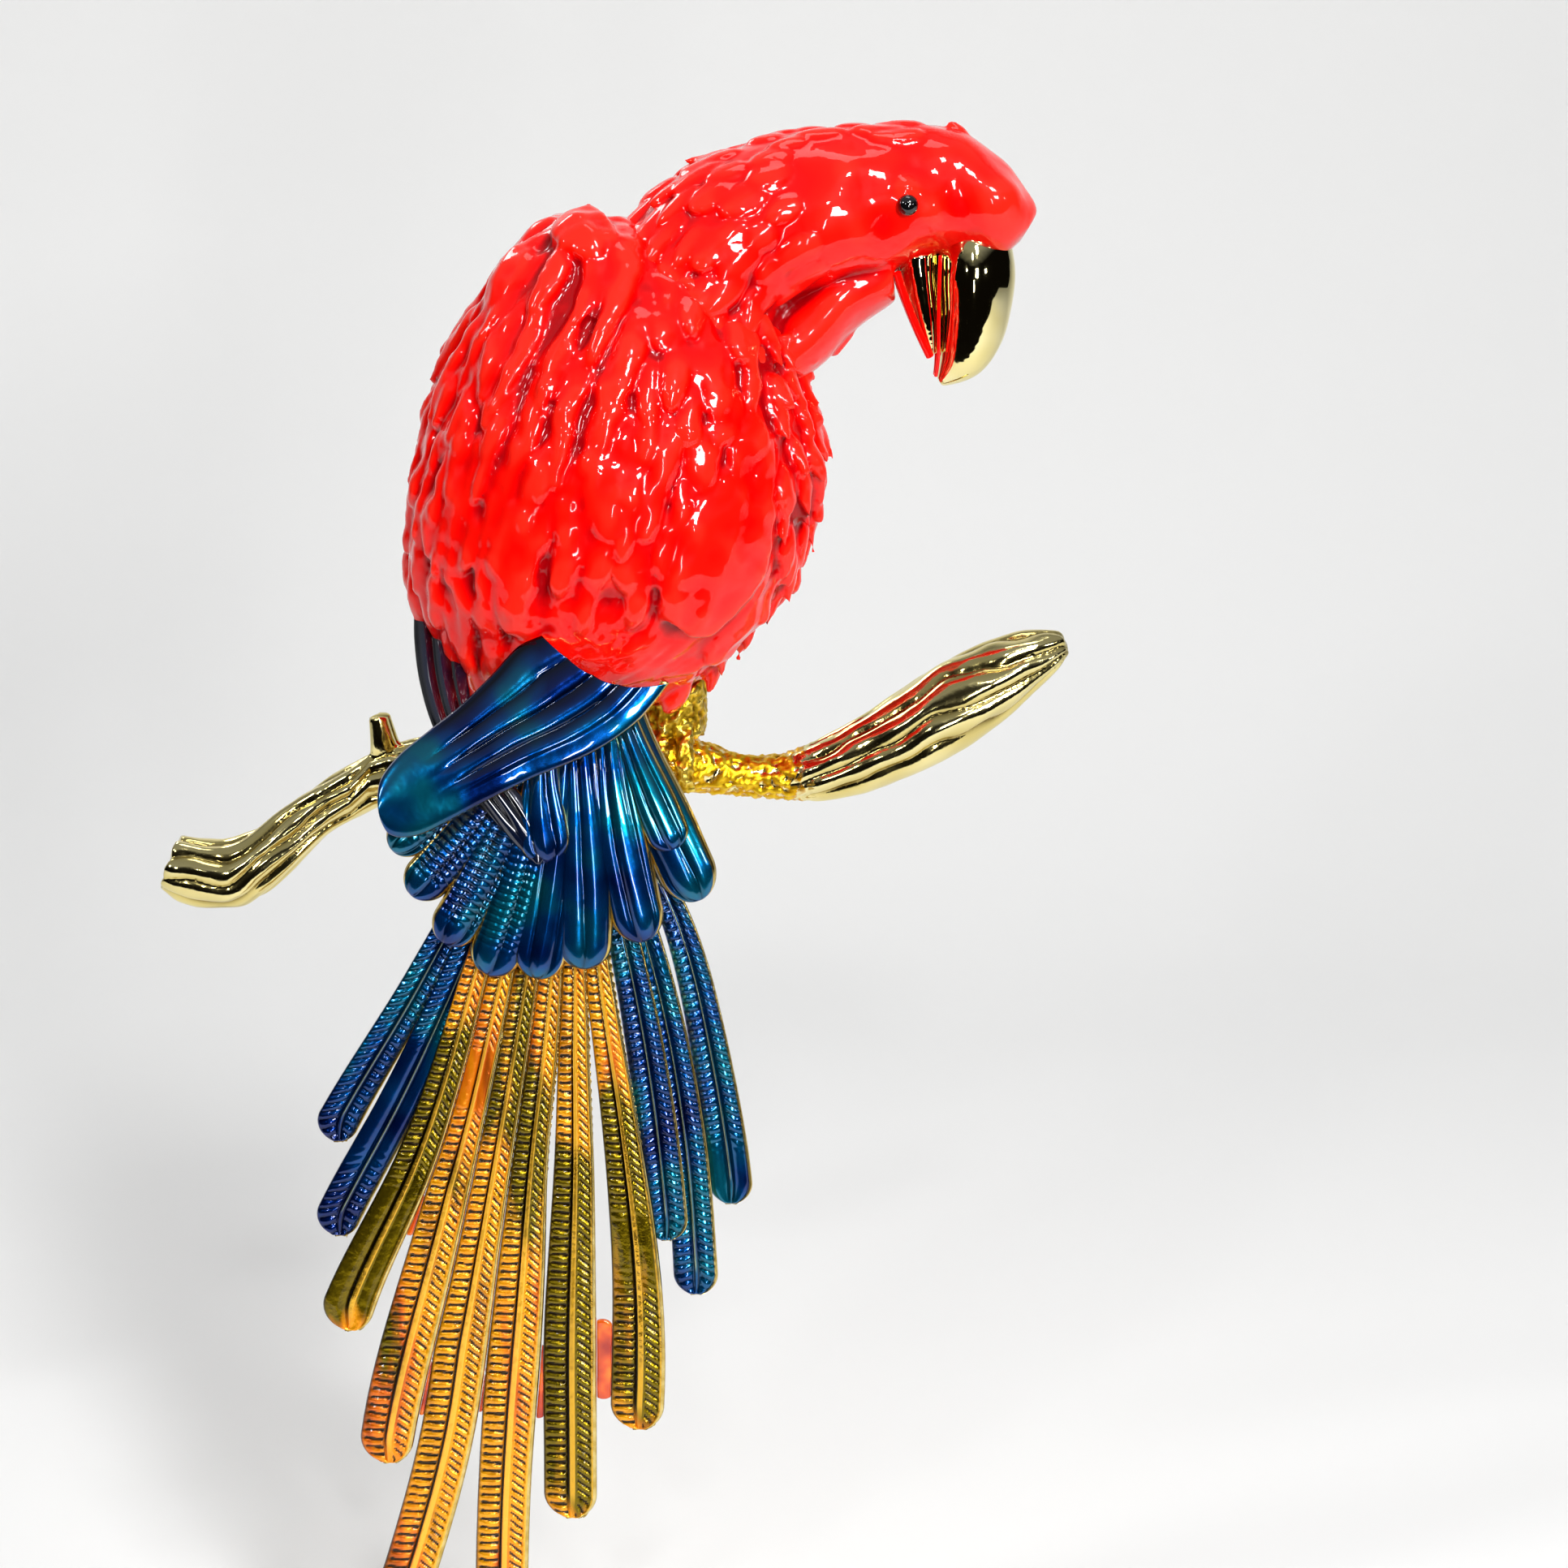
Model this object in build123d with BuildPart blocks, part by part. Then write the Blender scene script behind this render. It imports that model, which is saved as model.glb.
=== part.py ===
"""Enamelled macaw ornament: a cast, gilt and enamelled parrot fixed on a gilt branch.

The branch sits on top of a ledge or block and the tail hangs down over its front face.
Millimetres. Origin: centre of the seat under the branch. +X along the branch towards the
beak, +Y away from the tail (over the ledge), +Z up.
"""

import math
import os

from build123d import *

os.makedirs("parts", exist_ok=True)

# ---------------------------------------------------------------- driving dimensions
BODY_Y = -4.0  # the torso's and head's middle plane
WALL = 2.4  # thickness of the hollow torso casting
FIT = 0.05  # radial clearance where a peg or a screw enters a drilled hole
SOLDER = 0.05  # solder film between stacked plates

# Torso rings: height, centre x, half width, half depth
TORSO_RINGS = [
    (15.6, -5.0, 9.0, 8.0),
    (18.0, -4.6, 15.5, 13.5),
    (24.0, -3.4, 21.0, 19.0),
    (36.0, -1.0, 27.6, 24.0),
    (50.0, 1.4, 29.0, 25.5),
    (61.0, 1.8, 26.4, 24.0),
    (71.0, 2.6, 22.4, 20.5),
    (80.0, 0.5, 14.5, 15.0),
    (86.0, -2.2, 5.5, 7.0),
]
# Head and neck rings: centre x, centre z, half height, half depth, heading above +X in degrees
HEAD_RINGS = [
    (15.0, 73.8, 16.4, 15.5, 46.0),
    (17.8, 81.4, 12.6, 14.6, 37.0),
    (27.5, 86.0, 11.6, 12.9, 20.0),
    (37.2, 87.4, 10.9, 12.0, 5.0),
    (46.4, 87.8, 9.9, 10.3, -6.0),
    (53.4, 86.6, 6.8, 7.8, -17.0),
    (59.0, 84.6, 3.2, 3.8, -22.0),
]
# Throat rings, narrower than the cheeks above them
THROAT_RINGS = [
    (23.6, 65.5, 5.8, 9.0, 46.0),
    (29.0, 70.8, 5.4, 8.0, 40.0),
    (34.4, 75.6, 5.2, 6.8, 26.0),
    (40.2, 78.2, 4.6, 5.6, 10.0),
]
NECK_DOWEL_RADIUS = 3.0
NECK_DOWEL_LENGTH = 12.0

# Beak rings: centre x, centre z, half height, half depth, heading
UPPER_BEAK_RINGS = [
    (51.3, 82.0, 5.2, 5.2, -90.0),
    (51.6, 78.0, 5.3, 5.4, -90.0),
    (52.1, 73.5, 5.0, 4.8, -92.0),
    (51.7, 69.0, 4.1, 3.8, -105.0),
    (50.0, 65.3, 2.7, 2.5, -128.0),
    (46.9, 62.3, 0.6, 0.6, -150.0),
]
LOWER_BEAK_RINGS = [
    (43.0, 82.2, 2.4, 3.8, -78.0),
    (43.8, 75.5, 2.0, 3.5, -78.0),
    (44.7, 70.5, 1.4, 2.8, -80.0),
    (45.5, 65.4, 0.6, 1.4, -84.0),
]

EYE_X, EYE_Z = 41.6, 87.4
EYE_RADIUS = 1.6
EYE_SOCKET_DEPTH = 3.3
EYE_OFFSET = 11.2  # from the head's middle plane to the bead's centre

# Branch rings: centre x, centre y, centre z, radius
BRANCH_RINGS = [
    (-66.0, -2.0, -8.4, 4.1),
    (-62.0, -2.0, -10.0, 4.8),
    (-56.5, -2.0, -9.9, 4.8),
    (-50.8, -2.0, -6.6, 4.1),
    (-45.8, -1.5, -2.2, 3.5),
    (-40.4, -0.8, 1.2, 3.5),
    (-33.0, 0.0, 4.6, 3.8),
    (-22.0, 0.0, 6.4, 4.1),
    (-10.0, 0.0, 6.6, 4.4),
    (0.0, 0.0, 6.5, 4.5),
    (10.0, 0.0, 6.0, 4.2),
    (19.5, 0.0, 4.2, 3.1),
    (28.8, 0.0, 4.7, 4.1),
    (36.0, 0.0, 6.9, 5.1),
    (43.1, 0.0, 10.6, 5.9),
    (50.2, 0.0, 15.3, 6.2),
    (57.3, 0.0, 20.0, 5.0),
    (62.6, 0.0, 22.9, 3.2),
    (65.6, 0.0, 24.2, 1.4),
]
TWIG_BASE = (-33.5, 0.0, 5.0)
TWIG_RADIUS = 2.3
TWIG_LENGTH = 8.4

# Seat: boss under the branch with a thread for the ledge's screw
SEAT_RADIUS = 6.0
SEAT_THREAD_RADIUS = 1.65  # M4 tapping drill
SEAT_THREAD_DEPTH = 8.0

# Legs, toes and the screws that hold them
LEG_XS = {"right": 8.5, "left": -9.5}
LEG_FOOT_Z, LEG_TOP_Z = 10.6, 26.0
LEG_FOOT_RADIUS, LEG_TOP_RADIUS = 4.6, 5.6
LEG_PEG_RADIUS = 2.6
LEG_PEG_TOP_Z = 24.5
TOE_RADIUS = 1.25
TOE_WRAP_RADIUS = 6.0  # centreline of a toe bent round the branch
TOE_PAIR_SPACING = 3.6
TOE_WRAP_DEG = 118.0
SCREW_SHANK_RADIUS = 1.25
SCREW_HEAD_RADIUS = 2.2
SCREW_HEAD_HEIGHT = 1.5
SCREW_HEAD_Z = 1.9
SCREW_TIP_Z = 17.0

# Tail: rear face of each plate layer, y against z, before its own offset in y
TAIL_PROFILE = [(-20.5, 22.0), (-24.3, 8.0), (-26.2, -8.0), (-27.0, -40.0), (-26.6, -85.0), (-25.4, -135.0)]
FEATHER_THICKNESS = 1.0
LAYER_PITCH = FEATHER_THICKNESS + SOLDER
# width of a long feather against the drop below the tail's root
YELLOW_WIDTHS = [(0.0, 1.8), (22.0, 3.8), (40.0, 5.0), (52.0, 6.0), (70.0, 7.4), (78.0, 7.8), (140.0, 7.8)]
BLUE_WIDTHS = [(0.0, 2.4), (14.0, 4.4), (30.0, 5.4), (48.0, 6.2), (80.0, 6.6)]

# Long feathers: name -> (layer, quill line as x, z from root to tip)
YELLOW_FEATHERS = {
    "yellow_tail_feather_1": [(-11.6, 3.0), (-19.8, -21.8), (-24.2, -36.2), (-28.9, -48.4), (-34.3, -59.5), (-39.2, -71.2)],
    "yellow_tail_feather_2": [(-9.8, 3.0), (-16.0, -21.8), (-19.5, -36.0), (-22.7, -48.4), (-27.8, -67.0), (-31.2, -79.6), (-33.7, -92.3)],
    "yellow_tail_feather_3": [(-8.0, 3.0), (-12.2, -21.8), (-14.9, -36.2), (-17.4, -48.4), (-20.8, -67.0), (-22.9, -79.6), (-25.4, -93.0), (-29.4, -106.0), (-33.0, -118.5)],
    "yellow_tail_feather_4": [(-6.2, 3.0), (-8.6, -21.8), (-10.3, -36.2), (-12.0, -48.4), (-13.4, -67.0), (-14.8, -79.6), (-15.9, -92.4), (-16.8, -108.0), (-17.2, -128.0)],
    "yellow_tail_feather_5": [(-4.4, 3.0), (-4.9, -21.8), (-5.0, -36.2), (-5.2, -48.4), (-6.0, -67.0), (-6.3, -79.6), (-6.6, -101.2)],
    "yellow_tail_feather_6": [(-2.6, 3.0), (-0.9, -21.8), (1.0, -36.2), (2.4, -48.4), (3.5, -62.0), (3.7, -75.0), (3.2, -87.0)],
}
BLUE_FEATHERS = {
    "blue_tail_feather_left_1": (2, [(-13.6, 3.0), (-23.0, -13.4), (-28.6, -23.4), (-34.6, -33.2), (-40.2, -43.0)]),
    "blue_tail_feather_left_2": (1, [(-12.6, 3.0), (-20.5, -17.3), (-26.0, -29.3), (-32.0, -41.2), (-36.8, -49.8), (-40.4, -57.0)]),
    "blue_tail_feather_right_1": (1, [(-1.6, 3.0), (3.1, -17.5), (5.3, -30.5), (6.8, -43.0), (8.0, -58.0)]),
    "blue_tail_feather_right_2": (2, [(-0.6, 3.0), (5.9, -16.4), (8.9, -30.8), (10.8, -45.4), (11.7, -57.8), (12.1, -66.8)]),
    "blue_tail_feather_right_3": (3, [(0.4, 3.0), (9.4, -10.7), (13.0, -23.9), (15.2, -36.0), (16.6, -45.8), (17.3, -53.2)]),
}
# Solder bridges between neighbouring yellow feathers: top and bottom points, width
BRIDGES = [
    ((-26.6, -46.0), (-29.2, -57.0), 3.0),
    ((-26.6, -74.0), (-28.1, -85.0), 2.4),
    ((-18.7, -74.0), (-19.6, -84.5), 2.2),
    ((-10.4, -74.0), (-11.0, -85.5), 2.4),
    ((-1.5, -70.0), (-1.5, -82.5), 3.4),
]
BRIDGE_THICKNESS = 0.7

# Covert plates: tips of the lobes as x, z, and width; each lobe starts near the fan's root
COVERT_PROFILE = [(-20.6, 23.0), (-24.6, 14.0), (-27.2, 4.0), (-28.4, -8.0), (-28.9, -22.0)]
COVERT_THICKNESS = 1.3
FAN_ROOT = (-6.0, 20.5)
COVERT_LOBES = [
    ((-29.6, 0.2), 4.9),
    ((-26.8, -6.2), 4.9),
    ((-22.4, -12.9), 5.2),
    ((-16.4, -17.6), 5.6),
    ((-9.6, -17.8), 6.0),
    ((-3.0, -16.0), 6.6),
]
SIDE_COVERT_LOBES = [((5.4, -12.6), 6.2), ((13.2, -6.8), 6.6)]
SIDE_COVERT_ROOT = (0.6, 20.0)

# Folded wing tips: outlines as x, z and the rear face's profile as y, z
RIGHT_WING_OUTLINE = [
    (-9.6, 28.5), (-2.5, 25.0), (8.4, 23.2), (5.4, 19.0), (-2.5, 14.0), (-12.5, 10.0),
    (-21.0, 5.2), (-26.8, 3.3), (-30.2, 5.0), (-30.5, 9.2), (-27.0, 15.0), (-19.0, 21.0), (-12.6, 26.6),
]
RIGHT_WING_PROFILE = [(-22.6, 32.0), (-26.4, 22.0), (-30.0, 13.0), (-31.9, 5.0), (-32.6, -2.0)]
RIGHT_WING_THICKNESS = 1.8
LEFT_WING_OUTLINE = [
    (-28.2, 33.0), (-27.6, 26.0), (-25.6, 20.4), (-20.0, 11.0), (-12.6, 1.8), (-9.6, -1.4),
    (-8.6, 0.2), (-10.4, 6.4), (-16.0, 15.0), (-21.0, 22.0), (-22.6, 33.0),
]
LEFT_WING_PROFILE = [(-4.0, 34.0), (-10.0, 27.0), (-19.0, 20.0), (-26.7, 14.0), (-29.1, 6.0), (-30.0, -2.5)]
LEFT_WING_THICKNESS = 1.4

# Bracket that joins the tail's root to the torso
BRACKET_WIDTH = 13.0
BRACKET_X = -7.0
BRACKET_THICKNESS = 1.4
BRACKET_PROFILE = [(-12.0, 25.0), (-15.0, 17.0), (-19.2, 8.0), (-20.4, 2.5), (-20.9, -1.5)]
VENT_RADIUS = 1.2  # lets hot gas out of the hollow torso while the enamel is fired


# ---------------------------------------------------------------- shared shapes
def ring_plane(x, z, heading):
    """Plane square to a heading in the XZ plane, with its own x along +Y."""
    turn = math.radians(heading)
    return Plane(origin=(x, BODY_Y, z), x_dir=(0, 1, 0), z_dir=(math.cos(turn), 0, math.sin(turn)))


def ring_loft(rings):
    """Solid through elliptical rings that follow a bent line in the XZ plane."""
    with BuildPart() as lofted:
        for x, z, half_height, half_depth, heading in rings:
            with BuildSketch(ring_plane(x, z, heading)):
                Ellipse(half_depth, half_height)
        loft()
    return lofted.part


def interpolate(table, value):
    """Straight-line reading of a (position, amount) table."""
    for (low, start), (high, end) in zip(table, table[1:]):
        if value <= high:
            return start + (end - start) * max(0.0, value - low) / (high - low)
    return table[-1][1]


def curtain(profile, offset, thickness):
    """Wide sheet, of even depth along y, that follows a y, z profile."""
    with BuildPart() as sheet:
        with BuildSketch(Plane.YZ):
            with BuildLine():
                rear = Spline(*[(y + offset, z) for y, z in profile])
                front = Spline(*[(y + offset - thickness, z) for y, z in profile])
                Line(rear @ 0, front @ 0)
                Line(rear @ 1, front @ 1)
            make_face()
        extrude(amount=100, both=True)
    return sheet.part


def feather_blank(quill_points, widths):
    """Slab with a feather's front outline: it widens from the root and ends round."""
    quill = Spline(*quill_points)
    root_z = quill_points[0][1]
    samples = 9
    tip_share = interpolate(widths, root_z - quill_points[-1][1]) * 0.5 / quill.length
    left, right = [], []
    for step in range(samples):
        share = step / (samples - 1) * (1 - tip_share)
        point, along = quill @ share, quill % share
        half = interpolate(widths, root_z - point.Y) / 2
        across = Vector(-along.Y, along.X) * half
        left.append(point + across)
        right.append(point - across)
    with BuildPart() as slab:
        with BuildSketch(Plane.XZ):
            with BuildLine():
                Spline(*left)
                ThreePointArc(left[-1], quill @ 1, right[-1])
                Spline(*right)
                Line(left[0], right[0])
            make_face()
        extrude(amount=60)
    return slab.part


def slot_fan(runs):
    """Slab with the outline of round-ended slots, each from one point to another."""
    with BuildPart() as slab:
        with BuildSketch(Plane.XZ):
            for start, end, width in runs:
                run = Vector(*end) - Vector(*start)
                middle = (Vector(*end) + Vector(*start)) / 2
                with Locations((middle.X, middle.Y)):
                    SlotOverall(run.length, width, rotation=math.degrees(math.atan2(run.Y, run.X)))
        extrude(amount=60)
    return slab.part


def outline_blank(outline):
    """Slab with a smooth closed front outline."""
    with BuildPart() as slab:
        with BuildSketch(Plane.XZ):
            with BuildLine():
                Spline(*outline, periodic=True)
            make_face()
        extrude(amount=60)
    return slab.part


# ---------------------------------------------------------------- branch
with BuildPart() as perch_branch:
    count = len(BRANCH_RINGS)
    for index, (x, y, z, radius) in enumerate(BRANCH_RINGS):
        before = Vector(*BRANCH_RINGS[max(index - 1, 0)][:3])
        after = Vector(*BRANCH_RINGS[min(index + 1, count - 1)][:3])
        with BuildSketch(Plane(origin=(x, y, z), x_dir=(0, 1, 0), z_dir=after - before)):
            Circle(radius)
    loft()
    # stub of a side twig on the left limb
    with BuildSketch(Plane(origin=TWIG_BASE, z_dir=(-0.16, 0.0, 1.0))):
        Circle(TWIG_RADIUS)
    extrude(amount=TWIG_LENGTH, taper=4)
    # seat boss
    with BuildSketch(Plane.XY):
        Circle(SEAT_RADIUS)
    extrude(amount=5.8, taper=8)
    # thread for the ledge's screw
    with BuildSketch(Plane.XY):
        Circle(SEAT_THREAD_RADIUS)
    extrude(amount=SEAT_THREAD_DEPTH, mode=Mode.SUBTRACT)
    # through holes and counterbores for the leg screws
    for leg_x in LEG_XS.values():
        with BuildSketch(Plane.XY):
            with Locations((leg_x, 0)):
                Circle(SCREW_SHANK_RADIUS + FIT)
        extrude(amount=LEG_FOOT_Z + 2.0, mode=Mode.SUBTRACT)
        with BuildSketch(Plane.XY):
            with Locations((leg_x, 0)):
                Circle(SCREW_HEAD_RADIUS + FIT)
        extrude(amount=SCREW_HEAD_Z + SCREW_HEAD_HEIGHT, mode=Mode.SUBTRACT)

# ---------------------------------------------------------------- tail bracket
with BuildPart() as tail_bracket:
    with BuildSketch(Plane.XZ):
        with Locations((BRACKET_X, 11.5)):
            Rectangle(BRACKET_WIDTH, 26.0)
    extrude(amount=60, both=True)
    add(curtain(BRACKET_PROFILE, 0.0, BRACKET_THICKNESS), mode=Mode.INTERSECT)

# ---------------------------------------------------------------- torso
with BuildPart() as torso_solid:
    for z, x, half_width, half_depth in TORSO_RINGS:
        with BuildSketch(Plane.XY.offset(z)):
            with Locations((x, BODY_Y)):
                Ellipse(half_width, half_depth)
    loft()
    neck_joint = ring_plane(*HEAD_RINGS[0][:2], HEAD_RINGS[0][4])
    split(bisect_by=neck_joint, keep=Keep.BOTTOM)

with BuildPart() as torso_core:
    for z, x, half_width, half_depth in TORSO_RINGS[1:7]:
        with BuildSketch(Plane.XY.offset(z + (WALL if z < 20 else 0.0))):
            with Locations((x, BODY_Y)):
                Ellipse(half_width - WALL * 1.15, half_depth - WALL * 1.15)
    loft()
    split(bisect_by=neck_joint.offset(-WALL * 1.3), keep=Keep.BOTTOM)

with BuildPart() as body_shell:
    add(torso_solid.part)
    add(torso_core.part, mode=Mode.SUBTRACT)
    # slot for the tail's bracket
    add(tail_bracket.part, mode=Mode.SUBTRACT)
    # holes for the legs' pegs and the vent
    for leg_x in LEG_XS.values():
        with BuildSketch(Plane.XY.offset(LEG_FOOT_Z)):
            with Locations((leg_x, 0)):
                Circle(LEG_PEG_RADIUS + FIT)
        extrude(amount=LEG_PEG_TOP_Z - LEG_FOOT_Z + FIT, mode=Mode.SUBTRACT)
    with BuildSketch(Plane.XY.offset(LEG_FOOT_Z)):
        with Locations((0, 2.5)):
            Circle(VENT_RADIUS)
    extrude(amount=14.0, mode=Mode.SUBTRACT)
    # socket for the neck dowel
    with BuildSketch(neck_joint):
        Circle(NECK_DOWEL_RADIUS + FIT)
    extrude(amount=-(NECK_DOWEL_LENGTH / 2 + FIT), mode=Mode.SUBTRACT)

# ---------------------------------------------------------------- beak
with BuildPart() as upper_beak:
    add(ring_loft(UPPER_BEAK_RINGS))

with BuildPart() as lower_beak:
    add(ring_loft(LOWER_BEAK_RINGS))
    add(upper_beak.part, mode=Mode.SUBTRACT)

# ---------------------------------------------------------------- head
with BuildPart() as throat:
    add(ring_loft(THROAT_RINGS))
    add(torso_solid.part, mode=Mode.SUBTRACT)

with BuildPart() as head_shell:
    add(ring_loft(HEAD_RINGS))
    add(throat.part)
    # pockets for the beak's roots
    add(upper_beak.part, mode=Mode.SUBTRACT)
    add(lower_beak.part, mode=Mode.SUBTRACT)
    with BuildSketch(neck_joint):
        Circle(NECK_DOWEL_RADIUS + FIT)
    extrude(amount=NECK_DOWEL_LENGTH / 2 + FIT, mode=Mode.SUBTRACT)
    # drilled eye sockets, one each side
    for side in (-1, 1):
        with BuildSketch(Plane.XZ.offset(-BODY_Y - side * (EYE_OFFSET + EYE_RADIUS + 2.0))):
            with Locations((EYE_X, EYE_Z)):
                Circle(EYE_RADIUS + FIT)
        extrude(amount=side * (EYE_SOCKET_DEPTH + 2.0), mode=Mode.SUBTRACT)

with BuildPart() as neck_dowel:
    with BuildSketch(neck_joint.offset(-NECK_DOWEL_LENGTH / 2)):
        Circle(NECK_DOWEL_RADIUS)
    extrude(amount=NECK_DOWEL_LENGTH)
    chamfer(neck_dowel.edges().filter_by(GeomType.CIRCLE), length=0.5)


# ---------------------------------------------------------------- eyes
def eye_bead(side):
    """Glass bead with a short shank that fills its drilled socket."""
    centre_y = BODY_Y + side * EYE_OFFSET
    with BuildPart() as bead:
        with BuildSketch(Plane.XZ.offset(-centre_y)):
            with Locations((EYE_X, EYE_Z)):
                Circle(EYE_RADIUS)
        extrude(amount=side * (EYE_SOCKET_DEPTH - EYE_RADIUS - 0.1))
        with Locations((EYE_X, centre_y, EYE_Z)):
            Sphere(EYE_RADIUS)
    return bead


right_eye = eye_bead(-1)
left_eye = eye_bead(1)


# ---------------------------------------------------------------- legs
def leg(x):
    """Feathered shank with a peg into the torso and four toes bent round the branch."""
    with BuildPart() as made:
        with BuildSketch(Plane.XY.offset(LEG_FOOT_Z)):
            with Locations((x, 0)):
                Circle(LEG_FOOT_RADIUS)
        with BuildSketch(Plane.XY.offset(LEG_TOP_Z)):
            with Locations((x, 0)):
                Circle(LEG_TOP_RADIUS)
        loft()
        add(torso_solid.part, mode=Mode.SUBTRACT)
        add(perch_branch.part, mode=Mode.SUBTRACT)
        with BuildSketch(Plane.XY.offset(LEG_FOOT_Z + 1.0)):
            with Locations((x, 0)):
                Circle(LEG_PEG_RADIUS)
        extrude(amount=LEG_PEG_TOP_Z - LEG_FOOT_Z - 1.0)
        # toes: two in front and two behind the branch
        branch_z = 6.3
        for side in (-1, 1):
            for toe_x in (x - TOE_PAIR_SPACING / 2, x + TOE_PAIR_SPACING / 2):
                toe_plane = Plane(origin=(toe_x, 0, branch_z), x_dir=(0, side, 0), z_dir=(side, 0, 0))
                with BuildLine(toe_plane) as bend:
                    CenterArc((0, 0), TOE_WRAP_RADIUS, 90.0 - TOE_WRAP_DEG, TOE_WRAP_DEG)
                start = bend.line
                with BuildSketch(Plane(origin=start @ 0, z_dir=start % 0)):
                    Circle(TOE_RADIUS)
                sweep(path=start)
        with BuildSketch(Plane.XY.offset(LEG_FOOT_Z - 3.0)):
            with Locations((x, 0)):
                Circle(SCREW_SHANK_RADIUS + FIT)
        extrude(amount=SCREW_TIP_Z + 1.0 - LEG_FOOT_Z + 3.0, mode=Mode.SUBTRACT)
    return made


right_leg = leg(LEG_XS["right"])
left_leg = leg(LEG_XS["left"])

with BuildPart() as leg_screws:
    for leg_x in LEG_XS.values():
        with BuildSketch(Plane.XY.offset(SCREW_HEAD_Z)):
            with Locations((leg_x, 0)):
                Circle(SCREW_HEAD_RADIUS)
                RegularPolygon(SCREW_HEAD_RADIUS * 0.45, 6, mode=Mode.SUBTRACT)
        extrude(amount=SCREW_HEAD_HEIGHT * 0.6)
        with BuildSketch(Plane.XY.offset(SCREW_HEAD_Z + SCREW_HEAD_HEIGHT * 0.6)):
            with Locations((leg_x, 0)):
                Circle(SCREW_HEAD_RADIUS)
        extrude(amount=SCREW_HEAD_HEIGHT * 0.4)
        with BuildSketch(Plane.XY.offset(SCREW_HEAD_Z + SCREW_HEAD_HEIGHT)):
            with Locations((leg_x, 0)):
                Circle(SCREW_SHANK_RADIUS)
        extrude(amount=SCREW_TIP_Z - SCREW_HEAD_Z - SCREW_HEAD_HEIGHT)

# ---------------------------------------------------------------- folded wing tips
with BuildPart() as right_wing_tip:
    add(outline_blank(RIGHT_WING_OUTLINE))
    add(curtain(RIGHT_WING_PROFILE, 0.0, RIGHT_WING_THICKNESS), mode=Mode.INTERSECT)
    add(torso_solid.part, mode=Mode.SUBTRACT)

with BuildPart() as left_wing_tip:
    add(outline_blank(LEFT_WING_OUTLINE))
    add(curtain(LEFT_WING_PROFILE, 0.0, LEFT_WING_THICKNESS), mode=Mode.INTERSECT)
    add(torso_solid.part, mode=Mode.SUBTRACT)

# ---------------------------------------------------------------- tail coverts
with BuildPart() as upper_tail_coverts:
    add(slot_fan([(FAN_ROOT, tip, width) for tip, width in COVERT_LOBES]))
    add(curtain(COVERT_PROFILE, 0.0, COVERT_THICKNESS), mode=Mode.INTERSECT)
    add(torso_solid.part, mode=Mode.SUBTRACT)

with BuildPart() as side_tail_coverts:
    add(slot_fan([(SIDE_COVERT_ROOT, tip, width) for tip, width in SIDE_COVERT_LOBES]))
    add(curtain(COVERT_PROFILE, 0.0, COVERT_THICKNESS), mode=Mode.INTERSECT)
    add(torso_solid.part, mode=Mode.SUBTRACT)
    add(upper_tail_coverts.part, mode=Mode.SUBTRACT)

# ---------------------------------------------------------------- long tail feathers
# the yellow ones lie edge to edge: each is trimmed along the one before it
feathers = {}
neighbour = None
for name, quill_points in YELLOW_FEATHERS.items():
    with BuildPart() as feather:
        add(feather_blank(quill_points, YELLOW_WIDTHS))
        if neighbour:
            add(neighbour, mode=Mode.SUBTRACT)
        add(curtain(TAIL_PROFILE, 0.0, FEATHER_THICKNESS), mode=Mode.INTERSECT)
    neighbour = feather_blank(quill_points, YELLOW_WIDTHS)
    feathers[name] = feather

for name, (layer, quill_points) in BLUE_FEATHERS.items():
    with BuildPart() as feather:
        add(feather_blank(quill_points, BLUE_WIDTHS))
        add(curtain(TAIL_PROFILE, layer * LAYER_PITCH, FEATHER_THICKNESS), mode=Mode.INTERSECT)
    feathers[name] = feather

with BuildPart() as solder_bridges:
    add(slot_fan(BRIDGES))
    add(curtain(TAIL_PROFILE, -0.15, BRIDGE_THICKNESS), mode=Mode.INTERSECT)
    for name in YELLOW_FEATHERS:
        add(feathers[name].part, mode=Mode.SUBTRACT)

# ---------------------------------------------------------------- export
pieces = {
    "perch_branch": perch_branch,
    "body_shell": body_shell,
    "head_shell": head_shell,
    "neck_dowel": neck_dowel,
    "upper_beak": upper_beak,
    "lower_beak": lower_beak,
    "right_eye": right_eye,
    "left_eye": left_eye,
    "right_leg": right_leg,
    "left_leg": left_leg,
    "leg_screws": leg_screws,
    "right_wing_tip": right_wing_tip,
    "left_wing_tip": left_wing_tip,
    "upper_tail_coverts": upper_tail_coverts,
    "side_tail_coverts": side_tail_coverts,
    "solder_bridges": solder_bridges,
    "tail_bracket": tail_bracket,
    **feathers,
}
for name, piece in pieces.items():
    piece.part.label = name
    export_step(piece.part, f"parts/{name}.step")
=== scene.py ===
"""Enamelled macaw ornament on a gilt branch: red torso and head, gilt beak, bead eyes, blue wing tips and
coverts, and a long fan of amber and blue tail feathers. Sizes are in millimetres and turned to metres as each
mesh is made."""

import math
import random

import bmesh
import bpy
import numpy as np
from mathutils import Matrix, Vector
from mathutils.bvhtree import BVHTree
from mathutils.noise import noise


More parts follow.
